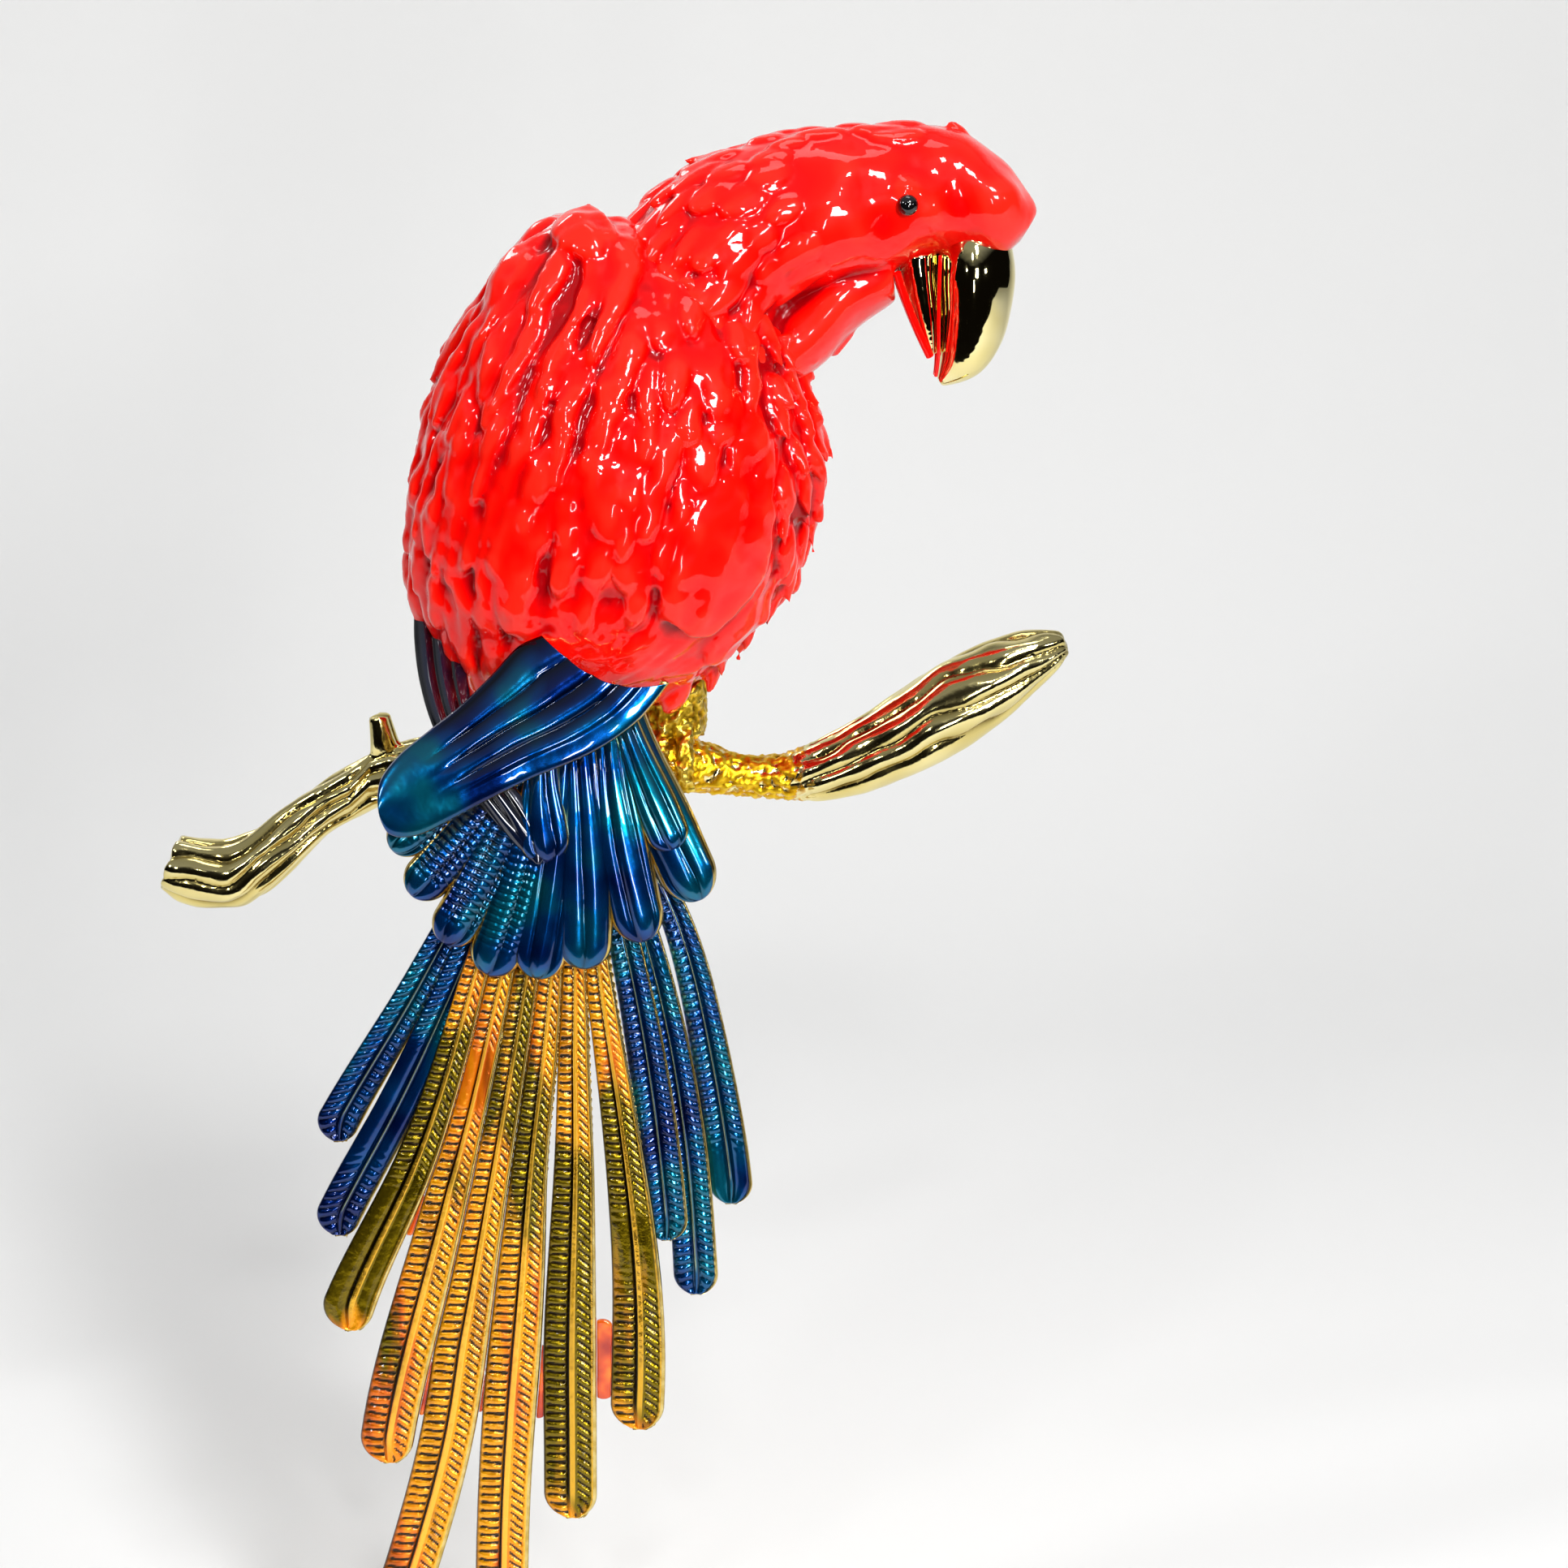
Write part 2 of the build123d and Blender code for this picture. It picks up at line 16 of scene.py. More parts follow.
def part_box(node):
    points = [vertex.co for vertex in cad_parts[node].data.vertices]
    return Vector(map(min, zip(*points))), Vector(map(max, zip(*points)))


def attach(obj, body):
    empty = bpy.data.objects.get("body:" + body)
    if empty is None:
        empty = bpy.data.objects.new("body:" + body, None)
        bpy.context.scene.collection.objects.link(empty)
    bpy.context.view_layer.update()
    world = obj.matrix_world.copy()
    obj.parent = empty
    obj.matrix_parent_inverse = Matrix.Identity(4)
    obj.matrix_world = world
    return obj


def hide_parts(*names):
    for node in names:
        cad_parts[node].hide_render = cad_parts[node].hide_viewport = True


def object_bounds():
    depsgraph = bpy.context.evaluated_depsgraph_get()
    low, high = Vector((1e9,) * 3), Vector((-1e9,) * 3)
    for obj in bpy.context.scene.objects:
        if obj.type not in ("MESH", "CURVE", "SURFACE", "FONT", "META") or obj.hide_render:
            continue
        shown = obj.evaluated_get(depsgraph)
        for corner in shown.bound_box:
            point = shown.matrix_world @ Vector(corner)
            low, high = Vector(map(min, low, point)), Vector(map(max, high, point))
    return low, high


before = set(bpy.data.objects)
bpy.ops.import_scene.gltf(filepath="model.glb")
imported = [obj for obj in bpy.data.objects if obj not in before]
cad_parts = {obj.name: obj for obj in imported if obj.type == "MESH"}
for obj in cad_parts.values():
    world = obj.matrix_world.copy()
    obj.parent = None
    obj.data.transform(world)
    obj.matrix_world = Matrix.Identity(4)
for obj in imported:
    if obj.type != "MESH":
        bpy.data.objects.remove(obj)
cad_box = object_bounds()
MM = 0.001

# ------------------------------------------------------------------------------------------------ studio
# A pale paper sweep under and behind the ornament, large and small lamps round it, and a room that is dark
# low down and pale overhead, so that the gilding has something dark to reflect. The camera stands as high as
# the ornament's crown and looks down.
CAMERA_PLACE = (24.72, -418.98, 99.68)
CAMERA_TILT_DEG = 77.0
CAMERA_LENS, CAMERA_SENSOR = 66.77, 36.0
FLOOR_GAP = 12.0
SWEEP_FRONT, SWEEP_WALL = -190.0, 620.0  # where the paper starts, and the wall that it climbs
SWEEP_RADIUS, SWEEP_TOP, SWEEP_WIDTH = 260.0, 1500.0, 3200.0
PAPER, PAPER_SEEN = "#F4F4F3", "#E4E5E4"
ROOM_DARK, ROOM_PALE, ROOM_STRENGTH = "#1A1714", "#F4F6FA", 0.32
LAMP_TARGET = (0, 0, 25)


def colour(hex_text):
    """Linear RGBA from an sRGB hex colour."""
    channels = [int(hex_text[i : i + 2], 16) / 255 for i in (1, 3, 5)]
    return (*[c / 12.92 if c <= 0.04045 else ((c + 0.055) / 1.055) ** 2.4 for c in channels], 1.0)


def add_node(tree, kind, settings=None, links=None):
    """Adds a shader node with its properties, inputs and colour stops, and links to it from other outputs."""
    node = tree.nodes.new(kind)
    for name, value in (settings or {}).items():
        if name == "stops":
            elements = node.color_ramp.elements
            while len(elements) < len(value):
                elements.new(0.5)
            for element, (position, shade) in zip(elements, value):
                element.position = position
                element.color = colour(shade) if isinstance(shade, str) else (shade, shade, shade, 1.0)
        elif isinstance(name, int) or name in node.inputs:
            node.inputs[name].default_value = value
        else:
            setattr(node, name, value)
    for name, output in (links or {}).items():
        tree.links.new(output, node.inputs[name])
    return node


def deselect():
    """Leaves nothing selected."""
    bpy.ops.object.select_all(action="DESELECT")


deselect()
scene = bpy.context.scene
scene.view_settings.view_transform = "Standard"

bpy.ops.object.camera_add(
    location=[v * MM for v in CAMERA_PLACE], rotation=(math.radians(CAMERA_TILT_DEG), 0, 0)
)
camera = bpy.context.object
camera.data.lens = CAMERA_LENS
camera.data.sensor_width = CAMERA_SENSOR
camera.data.clip_start = 0.01
scene.camera = camera

deselect()
bpy.ops.mesh.primitive_grid_add(x_subdivisions=1, y_subdivisions=48, size=2)
sweep = bpy.context.object
sweep.name = "paper_sweep"
floor_z = cad_box[0][2] / MM - FLOOR_GAP
straight = SWEEP_WALL - SWEEP_RADIUS - SWEEP_FRONT
bend = SWEEP_RADIUS * math.pi / 2
for vertex in sweep.data.vertices:
    run = (vertex.co.y + 1) / 2 * (straight + bend + SWEEP_TOP)
    turn = min(max(run - straight, 0) / SWEEP_RADIUS, math.pi / 2)
    y = SWEEP_FRONT + min(run, straight) + SWEEP_RADIUS * math.sin(turn)
    z = floor_z + SWEEP_RADIUS * (1 - math.cos(turn)) + max(run - straight - bend, 0)
    vertex.co = Vector((vertex.co.x * SWEEP_WIDTH / 2, y, z)) * MM
bpy.ops.object.shade_smooth()
paper = bpy.data.materials.new("matte_paper")
paper.use_nodes = True
paper_shader = paper.node_tree.nodes["Principled BSDF"]
paper_shader.inputs["Base Color"].default_value = colour(PAPER)
paper_shader.inputs["Roughness"].default_value = 0.9
paper_shader.inputs["Specular IOR Level"].default_value = 0.1
sweep.data.materials.append(paper)

# where each lamp stands, how wide and tall it is, and its power in watts
LAMPS = {
    "key_softbox": ((330, -640, 640), (140, 175), 3.5),
    "key_softbox_low": ((310, -700, 230), (130, 170), 3.5),
    "left_softbox": ((-760, -420, 520), (100, 150), 1.8),
    "overhead_softbox": ((40, 60, 900), (420, 260), 1.0),
    "glint_lamp_high": ((60, -700, 520), (60, 60), 0.9),
    "glint_lamp_left": ((-330, -690, 300), (60, 60), 0.6),
    "glint_strip_low": ((130, -640, -20), (24, 200), 0.7),
    "glint_lamp_right": ((620, -420, 210), (50, 50), 0.4),
    "rear_softbox": ((-420, 480, 560), (160, 160), 0.7),
}
for name, (place, size, watts) in LAMPS.items():
    bpy.ops.object.light_add(type="AREA", location=[v * MM for v in place])
    lamp = bpy.context.object
    lamp.name = name
    lamp.data.shape = "RECTANGLE"
    lamp.data.size, lamp.data.size_y = size[0] * MM, size[1] * MM
    lamp.data.energy = watts
    aim = Vector(LAMP_TARGET) - Vector(place)
    lamp.rotation_euler = aim.to_track_quat("-Z", "Y").to_euler()

room = bpy.data.worlds.new("room")
scene.world = room
room.use_nodes = True
tree = room.node_tree
tree.nodes.clear()
way = add_node(tree, "ShaderNodeTexCoord")
split = add_node(tree, "ShaderNodeSeparateXYZ", links={"Vector": way.outputs["Generated"]})
height = add_node(
    tree,
    "ShaderNodeValToRGB",
    {"stops": [(0.0, ROOM_DARK), (0.40, ROOM_DARK), (0.62, ROOM_PALE), (1.0, ROOM_PALE)]},
    {"Fac": split.outputs["Z"]},
).outputs["Color"]
lit = add_node(tree, "ShaderNodeBackground", {"Strength": ROOM_STRENGTH}, {"Color": height})
seen = add_node(tree, "ShaderNodeBackground", {"Color": colour(PAPER_SEEN), "Strength": 1.0})
ray = add_node(tree, "ShaderNodeLightPath")
either = add_node(
    tree,
    "ShaderNodeMixShader",
    links={0: ray.outputs["Is Camera Ray"], 1: lit.outputs[0], 2: seen.outputs[0]},
)
add_node(tree, "ShaderNodeOutputWorld", links={"Surface": either.outputs[0]})


# ------------------------------------------------------------------------------------------------ branch
# A branch cast in brass from a carved pattern, with bark ridges along it, and plated with pale gold. Its
# middle, where the feet stand, is left as a rough nugget surface under a yellower gold. It copies the
# casting's own solid.
BRANCH_GRAIN = 0.34  # mesh spacing after the casting's solid is remeshed
BARK_RIDGES = 8.0
BARK_DEPTH, BARK_FINE_DEPTH = 0.85, 0.35
NUGGET_SPAN = (-14.0, 31.0)  # along x
NUGGET_SIZE, NUGGET_DEPTH = 1.0, 0.42
SEAT_CLEAR, SEAT_CLEAR_TOP = 7.0, 3.5  # nothing is moved this near the seat's axis, below this height
SCREW_PLACES, SCREW_CLEAR, SCREW_CLEAR_TOP = (8.5, -9.5), 3.4, 5.0  # nor this near either leg screw
MOST_SHIFT = 0.8
SLICE_WIDTH = 3  # of the slices whose middles make the branch's centre line


def smoothstep(low, high, value):
    """0 below low, 1 above high, and a smooth rise between."""
    share = min(max((value - low) / (high - low), 0.0), 1.0)
    return share * share * (3 - 2 * share)


def pick(piece):
    """Makes a piece the only one selected, and the active one."""
    deselect()
    piece.select_set(True)
    bpy.context.view_layer.objects.active = piece


def copy_of(node, name):
    """A merged copy of a CAD node's mesh, as a new object."""
    made = bpy.data.objects.new(name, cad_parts[node].data.copy())
    made.data.materials.clear()
    scene.collection.objects.link(made)
    pick(made)
    bpy.ops.object.mode_set(mode="EDIT")
    bpy.ops.mesh.select_all(action="SELECT")
    bpy.ops.mesh.remove_doubles(threshold=1e-6)
    bpy.ops.object.mode_set(mode="OBJECT")
    return made


def remesh(piece, grain, smooth_steps=0, smooth_by=0.5):
    """Voxel remesh to an even grain in mm, then some rounds of smoothing, both applied."""
    pick(piece)
    voxels = piece.modifiers.new("voxels", "REMESH")
    voxels.mode = "VOXEL"
    voxels.voxel_size = grain * MM
    voxels.use_smooth_shade = True
    bpy.ops.object.modifier_apply(modifier=voxels.name)
    if smooth_steps:
        soften = piece.modifiers.new("soften", "SMOOTH")
        soften.factor = smooth_by
        soften.iterations = smooth_steps
        bpy.ops.object.modifier_apply(modifier=soften.name)
    piece.data.shade_smooth()


def paint_values(piece, name, values):
    """Writes one value per vertex, from 0 to 1, as a named attribute for the material."""
    layer = piece.data.color_attributes.new(name, "FLOAT_COLOR", "POINT")
    for entry, value in zip(layer.data, values):
        entry.color = (value, value, value, 1.0)


branch = copy_of("perch_branch", "gilt_branch")
remesh(branch, BRANCH_GRAIN, 2)
slices = {}
for vertex in branch.data.vertices:
    slices.setdefault(round(vertex.co.x / MM / SLICE_WIDTH), []).append(vertex.co / MM)
middles = {key: sum(points, Vector()) / len(points) for key, points in slices.items()}


def branch_middle(x):
    """The branch's centre line at x, as y and z."""
    place = x / SLICE_WIDTH
    low = math.floor(place)
    first, second = middles.get(low), middles.get(low + 1)
    first, second = first or second, second or first
    blend = place - low
    return first.y * (1 - blend) + second.y * blend, first.z * (1 - blend) + second.z * blend


branch_relief, branch_moves = [], []
normals = [vertex.normal.copy() for vertex in branch.data.vertices]
for vertex, normal in zip(branch.data.vertices, normals):
    point = vertex.co / MM
    y, z = branch_middle(point.x)
    angle = math.atan2(point.z - z, point.y - y)
    along = point.x * 1.15
    # the ridges wander along the branch and a little round it
    warp = 2.2 * noise(Vector((along * 0.06, 3.7, 0.0)))
    warp += 0.9 * noise(Vector((along * 0.16, math.cos(angle), math.sin(angle))))
    ridge = 1.0 - abs(math.sin(BARK_RIDGES / 2 * angle + warp)) ** 0.7
    fine = noise(Vector((along * 0.22, 2.6 * math.cos(angle), 2.6 * math.sin(angle)))) * 0.7
    bark = BARK_DEPTH * (0.35 - ridge) + BARK_FINE_DEPTH * fine
    rough = smoothstep(NUGGET_SPAN[0] - 5, NUGGET_SPAN[0], point.x)
    rough -= smoothstep(NUGGET_SPAN[1] - 7, NUGGET_SPAN[1], point.x)
    lump = noise(point / NUGGET_SIZE) + 0.6 * noise(point / (NUGGET_SIZE * 0.5))
    nugget = NUGGET_DEPTH * (lump - 0.1)
    under = math.hypot(point.x, point.y) < SEAT_CLEAR and point.z < SEAT_CLEAR_TOP
    near_screw = min(abs(point.x - place) for place in SCREW_PLACES) < SCREW_CLEAR
    holes = near_screw and point.z < SCREW_CLEAR_TOP
    ends = smoothstep(cad_box[0][0] / MM + 0.6, cad_box[0][0] / MM + 3.0, point.x)
    shift = 0.0 if under or holes else (bark * (1 - rough) + nugget * rough) * (0.35 + 0.65 * ends)
    branch_moves.append(min(shift, MOST_SHIFT))
    # the lower half of the relief colours the bark, with painted shade in its grooves, and the upper half the
    # nuggets, with painted light on their tops
    bark_relief = min(max(0.5 + shift / 1.2, 0.0), 1.0) * (1 - rough) * 0.5
    branch_relief.append(bark_relief + rough * (0.5 + 0.5 * min(max(0.5 + lump, 0), 1)))
for vertex, normal, shift in zip(branch.data.vertices, normals, branch_moves):
    vertex.co += normal * shift * MM
paint_values(branch, "relief", branch_relief)


def enamel_shader(material_name, settings):
    """A new material, its node tree and its Principled shader, with constant settings on the shader."""
    material = bpy.data.materials.new(material_name)
    material.use_nodes = True
    shader = material.node_tree.nodes["Principled BSDF"]
    for name, value in settings.items():
        shader.inputs[name].default_value = value
    return material, material.node_tree, shader


# pale gold plate over a bright brass casting: a near mirror, yellower and rougher where the surface is
# nuggets, with painted shade, dark brown, down in the bark's grooves and painted light on the nuggets' tops
gilt_bark, tree, shader = enamel_shader("gold_plated_brass_bark", {"Metallic": 1.0})
relief = add_node(tree, "ShaderNodeAttribute", {"attribute_name": "relief"})
spot = add_node(tree, "ShaderNodeTexCoord")
grain = add_node(
    tree, "ShaderNodeTexNoise", {"Scale": 900.0, "Detail": 3.0}, {"Vector": spot.outputs["Object"]}
)
# painted shade and light: grooves dark brown, ridges pale gold, nugget tops a brighter yellow
tone = add_node(
    tree,
    "ShaderNodeValToRGB",
    {"stops": [(0.0, "#6A5420"), (0.2, "#D8C67C"), (0.5, "#F2E6AA"), (0.62, "#D89C0C"), (0.85, "#F6CC2A")]},
    {"Fac": relief.outputs["Fac"]},
).outputs["Color"]
polish = add_node(
    tree,
    "ShaderNodeValToRGB",
    {"stops": [(0.0, 0.16), (0.5, 0.10), (0.62, 0.32), (1.0, 0.38)]},
    {"Fac": relief.outputs["Fac"]},
).outputs["Color"]
bump = add_node(
    tree, "ShaderNodeBump", {"Strength": 0.12, "Distance": 0.0003}, {"Height": grain.outputs["Fac"]}
)
tree.links.new(tone, shader.inputs["Base Color"])
tree.links.new(polish, shader.inputs["Roughness"])
tree.links.new(bump.outputs["Normal"], shader.inputs["Normal"])
branch.data.materials.append(gilt_bark)
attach(branch, "root")
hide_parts("perch_branch")

# ------------------------------------------------------------------------------------------------ torso
# A hollow casting covered in modelled feathers, dipped in thick scarlet enamel that rounds every edge and
# pools in the hollows, which are painted darker as shade. Each feather is a flat drop wrapped on the torso,
# then all are fused into one skin.
TORSO_Y = -4.0
# height, centre x, half width, half depth
TORSO_RINGS = [
    (15.6, -5.0, 8.4, 7.4),
    (18.0, -4.6, 14.6, 12.6),
    (24.0, -3.4, 20.2, 18.2),
    (36.0, -1.0, 26.8, 23.2),
    (50.0, 1.4, 28.2, 24.7),
    (61.0, 1.8, 25.6, 23.2),
    (71.0, 2.6, 21.6, 19.7),
    (80.0, 0.5, 13.7, 14.2),
    (85.4, -2.2, 5.5, 6.5),
]
TORSO_GRAIN = 0.44
DROP_SEGMENTS, DROP_RINGS = 8, 7


def spline_through(rows, share):
    """Catmull-Rom reading of evenly spaced rows of numbers at a share from 0 to 1."""
    place = min(max(share, 0.0), 1.0) * (len(rows) - 1)
    index = min(int(place), len(rows) - 2)
    t = place - index
    picked = [rows[min(max(index + k, 0), len(rows) - 1)] for k in (-1, 0, 1, 2)]
    return [
        0.5 * (
            2 * b + (c - a) * t + (2 * a - 5 * b + 4 * c - d) * t * t + (3 * b - a - 3 * c + d) * t * t * t
        )
        for a, b, c, d in zip(*picked)
    ]


def ring_point(rings, share, angle):
    """A point on a body of elliptical rings: x, z, half height, half depth and heading of each."""
    x, z, half_height, half_depth, heading = spline_through(rings, share)
    turn = math.radians(heading)
    up = half_height * math.cos(angle)
    return Vector((x - up * math.sin(turn), TORSO_Y + half_depth * math.sin(angle), z + up * math.cos(turn)))


def ringed_body(name, rings, segments, count):
    """Closed body through rings, shaped from a sphere whose poles become its end caps."""
    deselect()
    bpy.ops.mesh.primitive_uv_sphere_add(segments=segments, ring_count=count, radius=1)
    made = bpy.context.object
    made.name = name
    for vertex in made.data.vertices:
        polar = math.acos(min(max(vertex.co.z, -1), 1)) / math.pi
        share = (polar * count - 1) / (count - 2)
        if polar * count < 0.5 or polar * count > count - 0.5:
            x, z = spline_through(rings, share)[:2]
            vertex.co = Vector((x, TORSO_Y, z)) * MM
        else:
            vertex.co = ring_point(rings, share, math.atan2(vertex.co.y, vertex.co.x)) * MM
    bpy.ops.object.mode_set(mode="EDIT")
    bpy.ops.mesh.select_all(action="SELECT")
    bpy.ops.mesh.normals_make_consistent(inside=False)
    bpy.ops.object.mode_set(mode="OBJECT")
    return made


def tree_of(piece):
    """Nearest-point search on a piece's surface."""
    shape = bmesh.new()
    shape.from_mesh(piece.data)
    found = BVHTree.FromBMesh(shape)
    shape.free()
    return found


def drop_shape():
    """Points and faces of one feather's drop: length along z, width along x, thickness along y."""
    deselect()
    bpy.ops.mesh.primitive_uv_sphere_add(segments=DROP_SEGMENTS, ring_count=DROP_RINGS, radius=1)
    drop = bpy.context.object
    points = [vertex.co.copy() for vertex in drop.data.vertices]
    faces = [list(face.vertices) for face in drop.data.polygons]
    bpy.data.objects.remove(drop, do_unlink=True)
    return points, faces


DROP_POINTS, DROP_FACES = drop_shape()


def join_to(base, others):
    """Joins other pieces into base."""
    pick(base)
    for other in others:
        other.select_set(True)
    bpy.ops.object.join()


def lay_feathers(base, feathers, name):
    """Joins to base a wrapped drop per feather: place, direction, length, width, thickness, lift, point."""
    search = tree_of(base)
    points, faces = [], []
    for place, direction, length, width, thickness, lift, point in feathers:
        _, normal, _, _ = search.find_nearest(place * MM)
        along = (direction - normal * direction.dot(normal)).normalized()
        across = normal.cross(along)
        first = len(points)
        for corner in DROP_POINTS:
            share = (corner.z + 1) / 2
            flat = place + along * (share - 0.4) * length
            flat += across * corner.x * width / 2 * (1 - point * share)
            near, facing, _, _ = search.find_nearest(flat * MM)
            rise = corner.y * thickness / 2 + lift * share * share
            points.append(near + facing * rise * MM)
        faces += [[first + index for index in face] for face in DROP_FACES]
    mesh = bpy.data.meshes.new(name)
    mesh.from_pydata(points, [], faces)
    made = bpy.data.objects.new(name, mesh)
    scene.collection.objects.link(made)
    join_to(base, [made])


torso_rings = [(x, z, half_width, half_depth, 90.0) for z, x, half_width, half_depth in TORSO_RINGS]
torso = ringed_body("enamelled_torso", torso_rings, 96, 72)
rng = random.Random(7)


def torso_share(z):
    """How far up the rings a height is, from 0 to 1."""
    low, high = 0.0, 1.0
    for _ in range(24):
        middle = (low + high) / 2
        if spline_through(torso_rings, middle)[1] < z:
            low = middle
        else:
            high = middle
    return low


def torso_point(z, bearing_deg):
    """A point of the torso at a height and a bearing: 0 faces the tail's side, 90 faces +x."""
    bearing = math.radians(bearing_deg)
    x, _, half_width, half_depth, _ = spline_through(torso_rings, torso_share(z))
    return Vector((x + half_width * math.sin(bearing), TORSO_Y - half_depth * math.cos(bearing), z))


def sideways_at(bearing_deg):
    """The way round the torso at a bearing, level and towards a larger bearing."""
    return Vector((math.cos(math.radians(bearing_deg)), math.sin(math.radians(bearing_deg)), 0))


torso_feathers = []
# rows of feathers down the torso, longest on the folded wings' backs, short and ragged on the breast
ROW_PITCH, FEATHER_PITCH = 4.5, 4.9
FIRST_ROW, LAST_ROW = 82.0, 22.0
for row in range(int((FIRST_ROW - LAST_ROW) / ROW_PITCH) + 1):
    z = FIRST_ROW - row * ROW_PITCH
    _, _, half_width, half_depth, _ = spline_through(torso_rings, torso_share(z))
    around = int(2 * math.pi * (half_width + half_depth) / 2 / FEATHER_PITCH)
    for index in range(around):
        bearing = (index + 0.5 * (row % 2) + rng.uniform(-0.22, 0.22)) * 360 / around - 180
        breast = smoothstep(38, 70, bearing) - smoothstep(165, 180, bearing)
        # the barbs of the lower wing and the smooth end of the upper wing have no feathers laid on them here
        striped = (1 - smoothstep(30, 37, z)) * (smoothstep(-30, -12, bearing) - smoothstep(55, 75, bearing))
        smooth_zone = math.exp(-(((bearing - 38) / 21) ** 2) - ((z - 41.5) / 8.0) ** 2)
        if striped > 0.5 or smooth_zone > 0.45:
            continue
        lean = -0.22 * (1 - breast) + 0.12 * breast + rng.uniform(-0.12, 0.12)
        flank = math.exp(-(((bearing + 95) / 35) ** 2))
        place = torso_point(z + rng.uniform(-1.6, 1.6), bearing)
        direction = Vector((0, 0, -1)) + sideways_at(bearing) * lean
        mantle = smoothstep(-150, -110, bearing) - smoothstep(-5, 25, bearing)
        length = (10.0 - 2.8 * breast + 3.6 * mantle) * rng.uniform(0.75, 1.25)
        width = (6.0 - 0.4 * breast - 1.3 * mantle) * rng.uniform(0.7, 1.2)
        thickness = 1.9 + 0.5 * mantle + rng.uniform(-0.5, 0.6)
        lift = 0.9 + 0.9 * breast + 0.7 * flank + rng.uniform(-0.5, 0.6)
        torso_feathers.append((place, direction, length, width, thickness, lift, 0.25 + 0.4 * breast))
# fine long barbs of the lower wing, side by side
WING_BARBS = 26
for index in range(WING_BARBS):
    bearing = -24 + index * 3.6
    place = torso_point(29.5 - 0.05 * index + rng.uniform(-0.8, 0.8), bearing)
    direction = Vector((0, 0, -1)) - sideways_at(bearing) * (0.55 + 0.25 * index / WING_BARBS)
    torso_feathers.append((place, direction, 19.0, 2.3, 1.5, 0.35, 0.1))
# large smooth feathers on the folded wing's end, the shoulder's round top and the mantle: height, bearing,
# lean, length, width, thickness, lift of tip
LARGE_FEATHERS = [
    (43.0, 36.0, -0.30, 25.0, 20.0, 4.4, 2.0),
    (31.5, 62.0, -0.45, 17.0, 12.0, 3.0, 1.4),
    (83.5, -14.0, 0.5, 12.0, 10.5, 6.6, 0.3),
    (78.5, -60.0, 0.1, 12.0, 10.0, 4.2, 0.9),
    (53.0, 2.0, -0.2, 17.0, 9.0, 3.0, 1.2),
    (47.0, -46.0, -0.2, 20.0, 6.5, 3.2, 1.0),
    (40.0, -24.0, -0.2, 18.0, 7.0, 3.2, 1.2),
]
for z, bearing, lean, length, width, thickness, lift in LARGE_FEATHERS:
    direction = Vector((0, 0, -1)) + sideways_at(bearing) * lean
    torso_feathers.append((torso_point(z, bearing), direction, length, width, thickness, lift, 0.1))
# the drop of enamel that hangs at the belly beside the leg
torso_feathers.append((torso_point(19.0, 62.0), Vector((0.1, 0, -1)), 6.5, 4.4, 3.2, 1.6, 0.0))
lay_feathers(torso, torso_feathers, "torso_feathers")
remesh(torso, TORSO_GRAIN, 4)
# the thick enamel rounds and sways every form a little
normals = [vertex.normal.copy() for vertex in torso.data.vertices]
for vertex, normal in zip(torso.data.vertices, normals):
    point = vertex.co / MM
    shaped = 0.7 * noise(point / 6.0) + 0.3 * noise(point / 2.6)
    vertex.co += normal * shaped * smoothstep(17.0, 22.0, point.z) * MM


# how much the bend counts after so many rounds of averaging: fine, middling and broad; the result sets the
# painted shade of the scarlet enamel
HOLLOW_WEIGHTS = {5: 3.0, 14: 5.0, 35: 9.0}
FLAT_RELIEF = 0.60


def hollows_of(piece):
    """How hollow the surface is at each vertex, from 0 in a crevice to 1 on a crest."""
    mesh = piece.data
    many = len(mesh.vertices)
    ends = np.empty(len(mesh.edges) * 2, dtype=np.int64)
    mesh.edges.foreach_get("vertices", ends)
    first, second = ends[0::2], ends[1::2]
    points, facing = np.empty(many * 3), np.empty(many * 3)
    mesh.vertices.foreach_get("co", points)
    mesh.vertices.foreach_get("normal", facing)
    points, facing = points.reshape(-1, 3), facing.reshape(-1, 3)
    step = points[second] - points[first]
    step /= np.maximum(np.linalg.norm(step, axis=1), 1e-9)[:, None]
    count = np.bincount(first, minlength=many) + np.bincount(second, minlength=many)
    bent = np.bincount(second, (facing[second] * step).sum(axis=1), many)
    bent -= np.bincount(first, (facing[first] * step).sum(axis=1), many)
    values = bent / np.maximum(count, 1)
    total = np.zeros(many)
    for turn in range(max(HOLLOW_WEIGHTS) + 1):
        near = np.bincount(first, values[second], many) + np.bincount(second, values[first], many)
        values = (values + near) / (count + 1)
        total += values * HOLLOW_WEIGHTS.get(turn, 0.0)
    return np.clip(FLAT_RELIEF + total, 0.0, 1.0).tolist()


# the hollows map is painted into the scarlet enamel as shade, dark in the hollows and pale on the crests
paint_values(torso, "relief", hollows_of(torso))

# thick opaque vitreous enamel: a bright scarlet under a clear, wet-looking gloss, with painted shade that
# darkens the red in the hollows and painted light that pales it on the crests
scarlet, tree, shader = enamel_shader(
    "scarlet_vitreous_enamel",
    {
        "Roughness": 0.35,
        "Coat Weight": 1.0,
        "Coat Roughness": 0.012,
        "Coat IOR": 1.37,
        "Specular IOR Level": 0.05,
    },
)
relief = add_node(tree, "ShaderNodeAttribute", {"attribute_name": "relief"})
spot = add_node(tree, "ShaderNodeTexCoord")
patch = add_node(
    tree, "ShaderNodeTexNoise", {"Scale": 75.0, "Detail": 2.0}, {"Vector": spot.outputs["Object"]}
)
